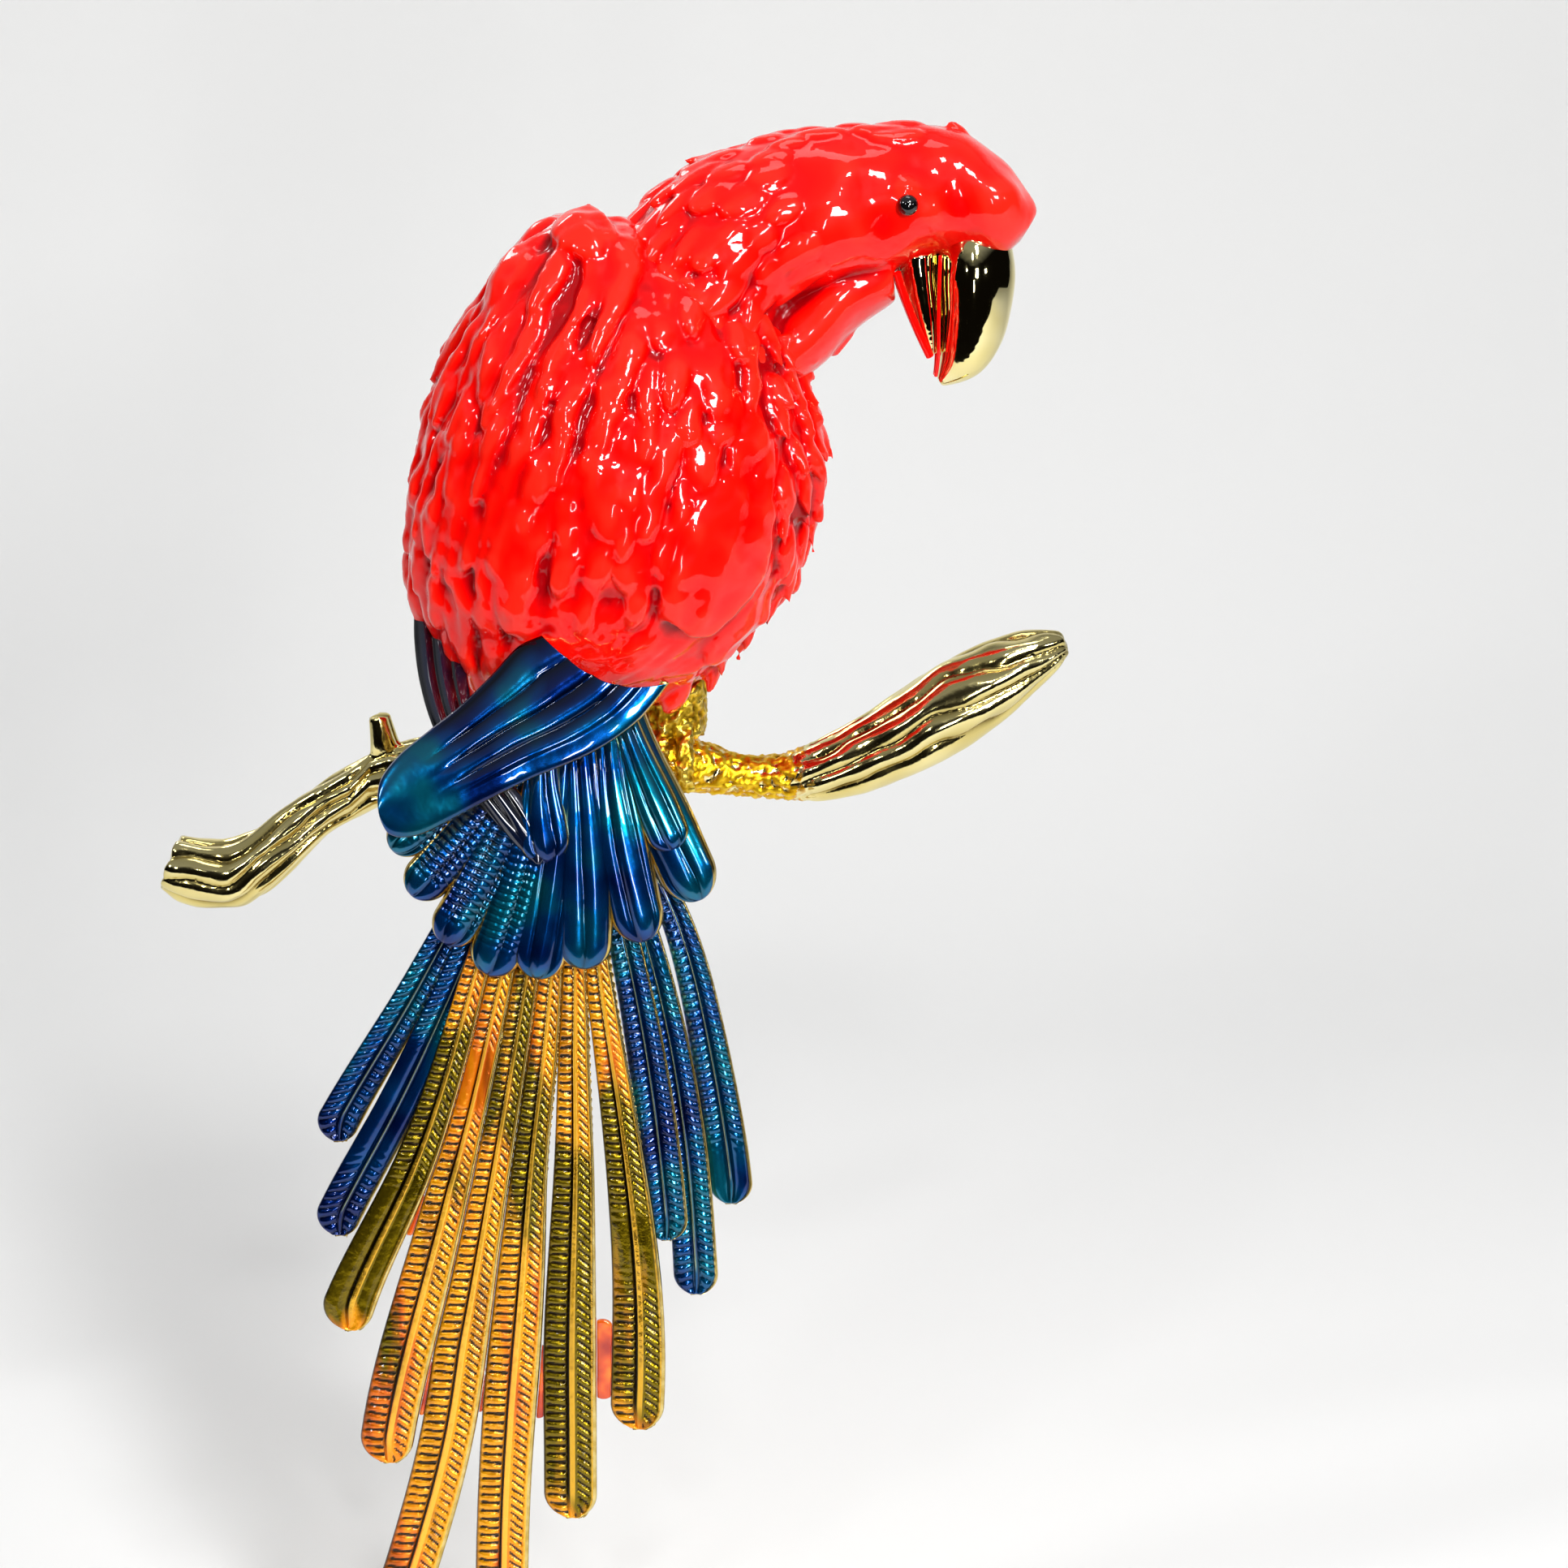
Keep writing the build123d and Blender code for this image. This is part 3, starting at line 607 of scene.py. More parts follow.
# painted shade and light: dark red in the hollows, brighter orange-red on the crests
depth = add_node(
    tree,
    "ShaderNodeValToRGB",
    {"stops": [(0.0, "#A00008"), (0.22, "#D00006"), (0.5, "#F80200"), (0.8, "#FF1206"), (1.0, "#FF2616")]},
    {"Fac": relief.outputs["Fac"]},
).outputs["Color"]
# random patches of a slightly duller red, over the painted shade and light
pooled = add_node(
    tree,
    "ShaderNodeMix",
    {"data_type": "RGBA", "blend_type": "MULTIPLY", "B": colour("#F4D8D8")},
    {"A": depth, "Factor": patch.outputs["Fac"]},
)
ripple = add_node(
    tree, "ShaderNodeTexNoise", {"Scale": 420.0, "Detail": 1.5}, {"Vector": spot.outputs["Object"]}
)
bump = add_node(
    tree, "ShaderNodeBump", {"Strength": 0.2, "Distance": 0.0005}, {"Height": ripple.outputs["Fac"]}
)
tree.links.new(pooled.outputs["Result"], shader.inputs["Base Color"])
tree.links.new(bump.outputs["Normal"], shader.inputs["Normal"])
tree.links.new(bump.outputs["Normal"], shader.inputs["Coat Normal"])
torso.data.materials.append(scarlet)
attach(torso, "root")
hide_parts("body_shell")

# ------------------------------------------------------------------------------------------------ head
# The head and neck are one more casting under the same scarlet enamel: a smooth crown and cheek, shallow
# dents round the eye and brow, a throat under the cheek, and a ragged ruff of pointed feathers where the neck
# meets the torso.

# centre x, centre z, half height, half depth, heading above +x in degrees
HEAD_RINGS = [
    (13.6, 72.4, 15.4, 15.0, 46.0),
    (17.6, 81.5, 12.2, 14.0, 35.5),
    (27.5, 86.0, 11.1, 12.6, 18.0),
    (37.0, 87.4, 10.3, 11.8, 5.0),
    (46.0, 89.0, 8.9, 10.0, -3.0),
    (53.0, 87.3, 6.5, 8.0, -14.0),
    (57.2, 84.6, 4.6, 5.4, -22.0),
    (59.2, 84.2, 2.4, 3.0, -24.0),
]
THROAT_RINGS = [
    (24.0, 66.2, 5.0, 9.0, 46.0),
    (29.0, 70.6, 4.8, 7.8, 38.0),
    (34.0, 75.2, 4.8, 6.8, 24.0),
    (40.0, 78.0, 4.2, 5.6, 8.0),
]
HEAD_BODY_GRAIN, HEAD_GRAIN = 0.5, 0.36  # before and after the feathers are laid
HEAD_ROWS, HEAD_FEATHER_PITCH = 11, 4.8
# x, z, radius and depth of the dents and (negative) swellings on each side of the head
HEAD_FORMS = [
    (47.8, 91.0, 3.2, 0.9),
    (48.9, 87.4, 2.8, 1.1),
    (49.8, 84.2, 2.4, 0.8),
    (42.6, 93.0, 4.0, 1.2),
    (36.4, 90.2, 2.8, 0.6),
    (44.0, 83.4, 2.4, 0.5),
    (54.2, 88.4, 3.0, -1.1),
    (45.0, 86.0, 1.8, -0.6),
    (41.6, 90.0, 1.6, -0.8),
    (38.0, 84.6, 2.4, 0.7),
    (30.5, 83.0, 5.0, -1.0),
    (27.0, 91.0, 3.0, 0.5),
    (33.0, 92.0, 2.8, -0.6),
]

head = ringed_body("enamelled_head", HEAD_RINGS, 80, 56)
throat = ringed_body("throat", THROAT_RINGS, 40, 24)
join_to(head, [throat])
remesh(head, HEAD_BODY_GRAIN, 5, 0.6)

head_feathers = []
for row in range(HEAD_ROWS):
    share = 0.01 + row * 0.05
    _, _, half_height, half_depth, heading = spline_through(HEAD_RINGS, share)
    around = int(2 * math.pi * (half_height + half_depth) / 2 / HEAD_FEATHER_PITCH)
    ruff = 1 - smoothstep(0.02, 0.24, share)
    for index in range(around):
        angle = (index + 0.5 * (row % 2) + rng.uniform(-0.3, 0.3)) * 2 * math.pi / around
        cheek = math.exp(-(((share - 0.38) / 0.11) ** 2)) * smoothstep(0.2, 0.7, abs(math.sin(angle)))
        face = share > 0.42 and math.cos(angle) < 0.6
        underside = share > 0.1 and math.cos(angle) < -0.8
        if cheek > 0.4 or face or underside:
            continue
        turn = math.radians(heading)
        back = Vector((-math.cos(turn), rng.uniform(-0.2, 0.2), -math.sin(turn) - 0.25))
        place = ring_point(HEAD_RINGS, share + rng.uniform(-0.015, 0.015), angle)
        length = (6.6 + 2.6 * ruff) * rng.uniform(0.8, 1.25)
        width = (5.6 + 0.6 * ruff) * rng.uniform(0.7, 1.2)
        head_feathers.append(
            (place, back, length, width, 1.5 + 0.5 * ruff, 0.3 + 1.3 * ruff, 0.3 + 0.3 * ruff)
        )
# tufts that break the outline, on the crown, along the nape and under the throat: x, z, length, lift of tip
TUFTS = [(49.0, 97.0, 3.2, 0.9), (14.0, 93.2, 5.0, 1.3), (8.0, 89.6, 5.0, 1.4), (33.4, 68.2, 5.0, 0.5)]
for x, z, length, lift in TUFTS:
    head_feathers.append((Vector((x, TORSO_Y, z)), Vector((-0.5, 0, -0.3)), length, 3.0, 1.4, lift, 0.6))
lay_feathers(head, head_feathers, "head_feathers")
remesh(head, HEAD_GRAIN, 5)
normals = [vertex.normal.copy() for vertex in head.data.vertices]
for vertex, normal in zip(head.data.vertices, normals):
    point = vertex.co / MM
    side = smoothstep(2.0, 6.0, abs(point.y - TORSO_Y))
    dent = sum(
        depth * math.exp(-((point.x - x) ** 2 + (point.z - z) ** 2) / (radius * radius))
        for x, z, radius, depth in HEAD_FORMS
    )
    wave = 0.45 * noise(point / 5.5) * smoothstep(24, 34, point.x)
    vertex.co += normal * (wave - dent * side) * MM
# the head's hollows map gives its scarlet enamel the same painted shade and light
paint_values(head, "relief", hollows_of(head))
head.data.materials.append(scarlet)

# the enamel that runs down between the beak's halves and along the lower one's edge, with each run's radius:
# x, z, distance from the middle
BETWEEN_HALVES = [
    (46.4, 80.4, 6.0),
    (46.3, 77.0, 5.5),
    (46.3, 73.0, 4.8),
    (46.4, 69.0, 3.7),
    (46.5, 65.6, 2.4),
    (46.2, 63.4, 1.2),
]
LOWER_EDGE = [(40.4, 78.0, 5.2), (41.4, 75.0, 4.3), (42.6, 72.0, 3.6), (43.9, 69.0, 2.9), (45.3, 66.2, 1.8)]
RUN_RELIEF = 0.55
for side in (-1, 1):
    for points, radius in ((BETWEEN_HALVES, 0.28), (LOWER_EDGE, 0.6)):
        line = bpy.data.curves.new("enamel_run", "CURVE")
        line.dimensions = "3D"
        line.bevel_depth = radius * MM
        line.bevel_resolution = 3
        line.use_fill_caps = True
        run = line.splines.new("NURBS")
        run.points.add(len(points) - 1)
        for knot, (x, z, out) in zip(run.points, points):
            knot.co = (x * MM, (TORSO_Y + side * out) * MM, z * MM, 1.0)
        run.use_endpoint_u = True
        run.order_u = 3
        line.resolution_u = 6
        bead = bpy.data.objects.new("enamel_run", line)
        scene.collection.objects.link(bead)
        pick(bead)
        bpy.ops.object.convert(target="MESH")
        bead = bpy.context.object
        paint_values(bead, "relief", [RUN_RELIEF] * len(bead.data.vertices))
        bead.data.materials.append(scarlet)
        join_to(head, [bead])
head.data.shade_smooth()
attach(head, "root")
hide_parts("head_shell")

# ------------------------------------------------------------------------------------------------ beak
# Two polished brass halves, plated like the branch but smooth as a mirror, and set in the face's enamel. The
# upper one hooks down over the lower.
BEAK_GRAIN = 0.3
RIDGE_FROM, RIDGE_LENGTH, RIDGE_NARROWING = 50.0, 7.0, 0.22
# centre x, centre z, half height, half depth, heading above +x in degrees
UPPER_BEAK_RINGS = [
    (51.2, 85.0, 4.2, 3.2, -90.0),
    (51.5, 81.2, 5.3, 5.3, -90.0),
    (51.7, 77.2, 5.6, 6.3, -90.0),
    (51.6, 73.0, 5.2, 5.8, -94.0),
    (51.0, 69.0, 4.6, 4.6, -105.0),
    (49.5, 65.3, 3.3, 3.1, -123.0),
    (46.8, 62.4, 0.7, 0.9, -146.0),
]
LOWER_BEAK_RINGS = [
    (43.4, 80.4, 3.0, 5.0, -80.0),
    (43.9, 76.5, 2.6, 4.6, -78.0),
    (44.9, 71.0, 1.9, 3.6, -78.0),
    (45.7, 66.4, 0.7, 1.8, -80.0),
]
# the same gold over polished brass: a clean mirror with a slow ripple in it
plated, tree, shader = enamel_shader("mirror_gold_plating", {"Metallic": 1.0, "Roughness": 0.05})
spot = add_node(tree, "ShaderNodeTexCoord")
waves = add_node(
    tree, "ShaderNodeTexNoise", {"Scale": 170.0, "Detail": 1.0}, {"Vector": spot.outputs["Object"]}
)
wear = add_node(
    tree, "ShaderNodeValToRGB", {"stops": [(0.3, "#E6D68E"), (0.7, "#F3E8B4")]}, {"Fac": waves.outputs["Fac"]}
).outputs["Color"]
bump = add_node(
    tree, "ShaderNodeBump", {"Strength": 0.35, "Distance": 0.0004}, {"Height": waves.outputs["Fac"]}
)
tree.links.new(wear, shader.inputs["Base Color"])
tree.links.new(bump.outputs["Normal"], shader.inputs["Normal"])
for node, rings in (("upper_beak", UPPER_BEAK_RINGS), ("lower_beak", LOWER_BEAK_RINGS)):
    half = ringed_body("gilt_" + node, rings, 48, 36)
    # the beak's ridge is narrower than its cutting edges
    for vertex in half.data.vertices:
        front = smoothstep(0.0, RIDGE_LENGTH, (vertex.co.x - RIDGE_FROM * MM) / MM)
        vertex.co.y = TORSO_Y * MM + (vertex.co.y - TORSO_Y * MM) * (1 - RIDGE_NARROWING * front)
    remesh(half, BEAK_GRAIN, 3)
    half.data.materials.append(plated)
    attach(half, "root")
    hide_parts(node)

# ------------------------------------------------------------------------------------------------ eyes
# Black glass beads, one each side, pressed into drilled sockets in the head. Each has a short shank at its
# back that fills the socket.
EYE_RADIUS, SHANK_STRETCH = 1.45, 0.2

# black pressed glass, which shows only its gloss
black_glass, tree, shader = enamel_shader(
    "black_bead_glass", {
        "Base Color": colour("#0A0A0C"),
        "Roughness": 0.05,
        "IOR": 1.52,
        "Coat Weight": 0.6,
        "Coat Roughness": 0.02,
    }
)
for side, node in ((-1, "right_eye"), (1, "left_eye")):
    low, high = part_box(node)
    centre = (Vector(low) + Vector(high)) / 2
    deselect()
    bpy.ops.mesh.primitive_uv_sphere_add(segments=40, ring_count=24, radius=EYE_RADIUS * MM, location=centre)
    bead = bpy.context.object
    bead.name = "bead_" + node
    bpy.ops.object.transform_apply(location=True, rotation=True, scale=True)
    # its back is drawn out into the shank
    for vertex in bead.data.vertices:
        inward = -side * (vertex.co.y - centre.y)
        if inward > 0:
            vertex.co.y -= side * inward * SHANK_STRETCH
    bead.data.shade_smooth()
    bead.data.materials.append(black_glass)
    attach(bead, "root")
    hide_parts(node)

# ------------------------------------------------------------------------------------------------ legs
# Short brass shanks and toes, cast with a surface of fine nuggets and plated in a yellower gold that is left
# unpolished. Screws through the branch hold them.
LEG_GRAIN = 0.3
LEG_NUGGET_SIZE, LEG_NUGGET_DEPTH = 1.1, 0.45

# unpolished gold plate over nuggets: yellow, with a soft sparkle on every lump, painted light that pales
# each lump and painted shade that darkens the pits between
nugget_gold, tree, shader = enamel_shader("unpolished_nugget_gold", {"Metallic": 1.0})
relief = add_node(tree, "ShaderNodeAttribute", {"attribute_name": "relief"})
spot = add_node(tree, "ShaderNodeTexCoord")
grit = add_node(
    tree, "ShaderNodeTexNoise", {"Scale": 1400.0, "Detail": 3.0}, {"Vector": spot.outputs["Object"]}
)
# painted shade and light: dark gold in the pits, pale gold on the lumps' tops
tone = add_node(
    tree,
    "ShaderNodeValToRGB",
    {"stops": [(0.0, "#8A6A12"), (0.5, "#D8B02C"), (1.0, "#F6DC6A")]},
    {"Fac": relief.outputs["Fac"]},
).outputs["Color"]
polish = add_node(
    tree, "ShaderNodeValToRGB", {"stops": [(0.0, 0.42), (1.0, 0.26)]}, {"Fac": relief.outputs["Fac"]}
).outputs["Color"]
bump = add_node(
    tree, "ShaderNodeBump", {"Strength": 0.3, "Distance": 0.0003}, {"Height": grit.outputs["Fac"]}
)
tree.links.new(tone, shader.inputs["Base Color"])
tree.links.new(polish, shader.inputs["Roughness"])
tree.links.new(bump.outputs["Normal"], shader.inputs["Normal"])
for node in ("right_leg", "left_leg"):
    leg = copy_of(node, "gilt_" + node)
    remesh(leg, LEG_GRAIN, 2)
    normals = [vertex.normal.copy() for vertex in leg.data.vertices]
    lumps = []
    for vertex, normal in zip(leg.data.vertices, normals):
        point = vertex.co / MM
        lump = noise(point / LEG_NUGGET_SIZE) + 0.6 * noise(point / (LEG_NUGGET_SIZE / 2))
        lumps.append(min(max(0.5 + lump, 0.0), 1.0))
        vertex.co += normal * LEG_NUGGET_DEPTH * lump * MM
    paint_values(leg, "relief", lumps)
    leg.data.materials.append(nugget_gold)
    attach(leg, "root")
    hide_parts(node)

# ------------------------------------------------------------------------------------------------ tail feathers
# Long strips cast in brass, with a raised quill and vanes cut across by barbs, under translucent enamel that
# is thin on the crests, with painted shade dark in the cuts. Every edge keeps a bare gilt rim, and the blue
# ones lie behind the amber ones.
BARB_PITCH = 1.3
ROW_STEP = 0.215
FEATHER_BODY = 0.9  # thickness behind the modelled face
ROUND_TIP = 3.6  # length of the rounded tip
AMBER_LIFT, BLUE_LIFT = 0.35, 0.15  # how far a feather's right edge stands out past its left edge
PLATE_MARGIN = 0.02  # kept from a plate's very ends, where it has no width
# shares of a feather's width, closest where its face steps
VANE_COLUMNS = [
    0.0, 0.02, 0.06, 0.11, 0.18, 0.26, 0.34, 0.40, 0.435, 0.455, 0.475, 0.50, 0.53, 0.56, 0.585, 0.61, 0.65, 0.69,
    0.73, 0.77, 0.81, 0.85, 0.88, 0.905, 0.93, 0.965, 1.0,
]


def outline_of(node):
    """Gives a function from a height to a CAD plate's left edge, right edge and front face, all in mm."""
    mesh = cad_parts[node].data
    points = np.empty(len(mesh.vertices) * 3)
    mesh.vertices.foreach_get("co", points)
    points = points.reshape(-1, 3) / MM
    edges = np.empty(len(mesh.edges) * 2, dtype=np.int64)
    mesh.edges.foreach_get("vertices", edges)
    edges = edges.reshape(-1, 2)
    first, second = points[edges[:, 0]], points[edges[:, 1]]
    low, high = np.minimum(first[:, 2], second[:, 2]), np.maximum(first[:, 2], second[:, 2])

    def at(z):
        crossing = (low <= z) & (high > z)
        a, b = first[crossing], second[crossing]
        t = ((z - a[:, 2]) / (b[:, 2] - a[:, 2]))[:, None]
        met = a + t * (b - a)
        return met[:, 0].min(), met[:, 0].max(), met[:, 1].min()

    return at


def shaped_grid(name, columns, rows, place):
    """A grid whose points and relief come from place(u, v), with u across and v along, both from 0 to 1."""
    deselect()
    bpy.ops.mesh.primitive_grid_add(x_subdivisions=columns, y_subdivisions=rows, size=2)
    made = bpy.context.object
    made.name = name
    reliefs = []
    for vertex in made.data.vertices:
        point, relief_value = place((vertex.co.x + 1) / 2, (vertex.co.y + 1) / 2)
        vertex.co = point * MM
        reliefs.append(relief_value)
    paint_values(made, "relief", reliefs)
    return made


def back_and_rim(piece, thickness, rim_test, glass):
    """Gives a face its enamel and its body, with gilding on the back, the sides and the rim's faces."""
    piece.data.materials.append(glass)
    piece.data.materials.append(gilt_rim)
    faces = piece.data.polygons
    if sum(face.normal.y for face in faces) > 0:
        piece.data.flip_normals()
    for index, face in enumerate(faces):
        face.material_index = 1 if rim_test(index) else 0
    pick(piece)
    wall = piece.modifiers.new("wall", "SOLIDIFY")
    wall.thickness = thickness * MM
    wall.offset = -1.0
    wall.material_offset = 1
    wall.material_offset_rim = 1
    bpy.ops.object.modifier_apply(modifier=wall.name)
    piece.data.shade_smooth()


def barb_cut(phase):
    """Depth of the cuts between barbs, from 0 to 1, at a phase counted in barbs."""
    return smoothstep(0.1, 0.65, math.cos(2 * math.pi * phase))


def amber_face(u, z, seed, fade):
    """Height and relief of an amber feather's face at a share u of its width; the quill fades at its tip."""
    calm = smoothstep(-0.42, -0.22, noise(Vector((seed * 7.3, z * 0.045, 1.0))))
    wobble = 0.16 * noise(Vector((seed * 3.1, z * 0.5, u * 3)))
    if u < 0.445:
        vane = math.sin(math.pi * min(u / 0.46, 1.0)) ** 0.5
        edge = smoothstep(0.04, 0.11, u) * smoothstep(0.44, 0.38, u)
        cut = barb_cut(z / BARB_PITCH + wobble + 0.5 * (u - 0.2)) * edge
        return 0.50 * vane - 0.30 * cut * calm, 0.74 * vane - 0.66 * cut * calm
    if u < 0.49:
        return -0.10 * fade, 0.5 * (1 - fade)
    if u < 0.60:
        return 0.45 + 0.40 * fade, 0.80 + 0.2 * fade
    if u < 0.90:
        share = (u - 0.60) / 0.30
        edge = smoothstep(0.05, 0.2, share) * smoothstep(1.0, 0.85, share)
        cut = barb_cut(z / BARB_PITCH + wobble + 1.25 * share) * edge
        return 0.44 + 0.12 * math.sin(math.pi * share) - 0.30 * cut * calm, 0.70 - 0.64 * cut * calm
    return (0.58, 0.95) if u < 0.98 else (0.30, 0.95)


def blue_face(u, z, seed, fade):
    """Height and relief of a blue feather's face: two domed vanes and a thin bare quill."""
    calm = smoothstep(-0.35, -0.1, noise(Vector((seed * 5.7, z * 0.05, 2.0))))
    wobble = 0.15 * noise(Vector((seed * 2.3, z * 0.5, u * 3)))
    if 0.46 < u < 0.57:
        return (0.50 + 0.22 * fade, 0.75 + 0.25 * fade) if 0.49 < u < 0.54 else (0.15, 0.05)
    if u > 0.94:
        return (0.40, 0.9) if u < 0.98 else (0.25, 0.9)
    share = u / 0.46 if u < 0.5 else (u - 0.57) / 0.37
    dome = math.sin(math.pi * share) ** 0.6 if 0 < share < 1 else 0.0
    slope = -0.5 if u < 0.5 else 0.9
    edge = smoothstep(0.05, 0.2, share) * smoothstep(0.98, 0.8, share)
    cut = barb_cut(z / BARB_PITCH + wobble + slope * share) * edge
    return 0.66 * dome - 0.26 * cut * calm, 0.35 + 0.40 * dome - 0.40 * cut * calm


def tail_feather(node, face, seed, lift, glass):
    """A feather's face laid on its CAD plate, from tip to root, then given a back."""
    at = outline_of(node)
    low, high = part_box(node)
    bottom, top = low[2] / MM + PLATE_MARGIN, high[2] / MM - PLATE_MARGIN
    span = top - bottom
    rows = int(span / ROW_STEP)
    round_end = ROUND_TIP / span

    def place(u, v):
        u = VANE_COLUMNS[round(u * (len(VANE_COLUMNS) - 1))]
        along = v if v > round_end else round_end * (1 - math.cos(math.pi / 2 * v / round_end))
        z = bottom + span * along
        left, right, front = at(min(z, top))
        height, relief_value = face(u, z, seed, smoothstep(0.3, 1.6, v / round_end))
        # the bare rim follows the round tip too
        rim = 1 - smoothstep(0.12, 0.3, v / round_end)
        height = height * (1 - rim) + 0.5 * rim * smoothstep(0.0, 0.05, v / round_end)
        relief_value = relief_value * (1 - rim) + 0.95 * rim
        narrow = smoothstep(0.0, 2.2, right - left)
        swell = 0.2 * noise(Vector((seed * 9.1, z * 0.11, u * 1.5)))
        y = front - (height * narrow + lift * (u - 0.5) + swell)
        return Vector((left + (right - left) * u, y, z)), relief_value

    columns = len(VANE_COLUMNS) - 1
    made = shaped_grid("enamelled_" + node, columns, rows, place)
    back_and_rim(made, FEATHER_BODY, lambda index: index % columns >= columns - 2, glass)
    return made


# amber glass over gilding: honey where it is thin, orange where it is thicker, olive with gold glints where
# it pools, and painted shade, brown-black, down in the cuts
amber, tree, shader = enamel_shader(
    "amber_translucent_enamel", {"Metallic": 0.5, "Coat Weight": 0.5, "Coat Roughness": 0.02, "Coat IOR": 1.4}
)
relief = add_node(tree, "ShaderNodeAttribute", {"attribute_name": "relief"})
spot = add_node(tree, "ShaderNodeTexCoord")
stretch = add_node(
    tree, "ShaderNodeMapping", {"Scale": (240.0, 60.0, 34.0)}, {"Vector": spot.outputs["Object"]}
)
flow = add_node(
    tree, "ShaderNodeTexNoise", {"Scale": 1.0, "Detail": 2.0}, {"Vector": stretch.outputs["Vector"]}
)
honey = add_node(
    tree,
    "ShaderNodeValToRGB",
    {"stops": [(0.30, "#CC8002"), (0.43, "#F8A806"), (0.55, "#F89604"), (0.67, "#D84C02")]},
    {"Fac": flow.outputs["Fac"]},
).outputs["Color"]
pool = add_node(tree, "ShaderNodeAttribute", {"attribute_name": "pool"})
shift = add_node(
    tree,
    "ShaderNodeMath",
    {"operation": "ADD", "use_clamp": True},
    {0: pool.outputs["Fac"], 1: flow.outputs["Fac"]},
)
pooled = add_node(
    tree,
    "ShaderNodeValToRGB",
    {"stops": [(0.0, 0.0), (0.62, 0.0), (0.78, 1.0), (1.0, 1.0)]},
    {"Fac": shift.outputs[0]},
).outputs["Color"]
olive = add_node(
    tree, "ShaderNodeMix", {"data_type": "RGBA", "B": colour("#7E6A08")}, {"A": honey, "Factor": pooled}
)
crest = add_node(
    tree,
    "ShaderNodeValToRGB",
    {"stops": [(0.0, 0.0), (0.82, 0.0), (0.93, 0.75), (1.0, 0.8)]},
    {"Fac": relief.outputs["Fac"]},
).outputs["Color"]
bared = add_node(
    tree,
    "ShaderNodeMix",
    {"data_type": "RGBA", "B": colour("#FFC23A")},
    {"A": olive.outputs["Result"], "Factor": crest},
)
# painted shade: low relief, in the barb cuts and beside the quill, turns brown-black
cut = add_node(
    tree,
    "ShaderNodeValToRGB",
    {"stops": [(0.0, 1.0), (0.2, 0.95), (0.46, 0.1), (0.6, 0.0)]},
    {"Fac": relief.outputs["Fac"]},
).outputs["Color"]
amber_tone = add_node(
    tree,
    "ShaderNodeMix",
    {"data_type": "RGBA", "B": colour("#241802")},
    {"A": bared.outputs["Result"], "Factor": cut},
)
gloss = add_node(
    tree, "ShaderNodeValToRGB", {"stops": [(0.3, 0.2), (0.7, 0.34)]}, {"Fac": flow.outputs["Fac"]}
).outputs["Color"]
pits = add_node(
    tree, "ShaderNodeTexNoise", {"Scale": 640.0, "Detail": 3.0}, {"Vector": spot.outputs["Object"]}
)
bump = add_node(
    tree, "ShaderNodeBump", {"Strength": 0.55, "Distance": 0.0004}, {"Height": pits.outputs["Fac"]}
)
glint = add_node(tree, "ShaderNodeMath", {"operation": "MULTIPLY_ADD", 1: 0.45, 2: 0.5}, {0: pooled})
tree.links.new(amber_tone.outputs["Result"], shader.inputs["Base Color"])
tree.links.new(glint.outputs[0], shader.inputs["Metallic"])
tree.links.new(gloss, shader.inputs["Roughness"])
tree.links.new(bump.outputs["Normal"], shader.inputs["Normal"])

# blue glass over silvery plating: royal blue, teal where it is thin, and painted shade, near black, in the
# cuts, between the folds and along the edges of each plate
royal, tree, shader = enamel_shader(
    "royal_blue_translucent_enamel", {
        "Metallic": 0.85,
        "Coat Weight": 0.9,
        "Coat Roughness": 0.015,
        "Coat IOR": 1.42,
        "Roughness": 0.24,
        "Specular Tint": colour("#3A78C8"),
    }
)
relief = add_node(tree, "ShaderNodeAttribute", {"attribute_name": "relief"})
spot = add_node(tree, "ShaderNodeTexCoord")
cloud = add_node(
    tree, "ShaderNodeTexNoise", {"Scale": 95.0, "Detail": 2.0}, {"Vector": spot.outputs["Object"]}
)
glass = add_node(
    tree,
    "ShaderNodeValToRGB",
    {"stops": [(0.36, "#021E5E"), (0.5, "#034486"), (0.64, "#086C86")]},
    {"Fac": cloud.outputs["Fac"]},
).outputs["Color"]
# painted shade: low relief, in the cuts, between the folds and at the edges, turns near black
blue_painted_shade = add_node(
    tree,
    "ShaderNodeValToRGB",
    {"stops": [(0.0, 1.0), (0.35, 0.55), (0.6, 0.0)]},
    {"Fac": relief.outputs["Fac"]},
).outputs["Color"]
blue_tone = add_node(
    tree, "ShaderNodeMix", {"data_type": "RGBA", "B": colour("#020615")}, {"A": glass, "Factor": blue_painted_shade}
)
crest = add_node(
    tree,
    "ShaderNodeValToRGB",
    {"stops": [(0.0, 0.0), (0.88, 0.0), (0.97, 1.0), (1.0, 1.0)]},
    {"Fac": relief.outputs["Fac"]},
).outputs["Color"]
blue_bared = add_node(
    tree,
    "ShaderNodeMix",
    {"data_type": "RGBA", "B": colour("#8C9A84")},
    {"A": blue_tone.outputs["Result"], "Factor": crest},
)
pits = add_node(
    tree, "ShaderNodeTexNoise", {"Scale": 420.0, "Detail": 2.0}, {"Vector": spot.outputs["Object"]}
)
bump = add_node(
    tree, "ShaderNodeBump", {"Strength": 0.22, "Distance": 0.0003}, {"Height": pits.outputs["Fac"]}
)
tree.links.new(blue_bared.outputs["Result"], shader.inputs["Base Color"])
tree.links.new(bump.outputs["Normal"], shader.inputs["Normal"])

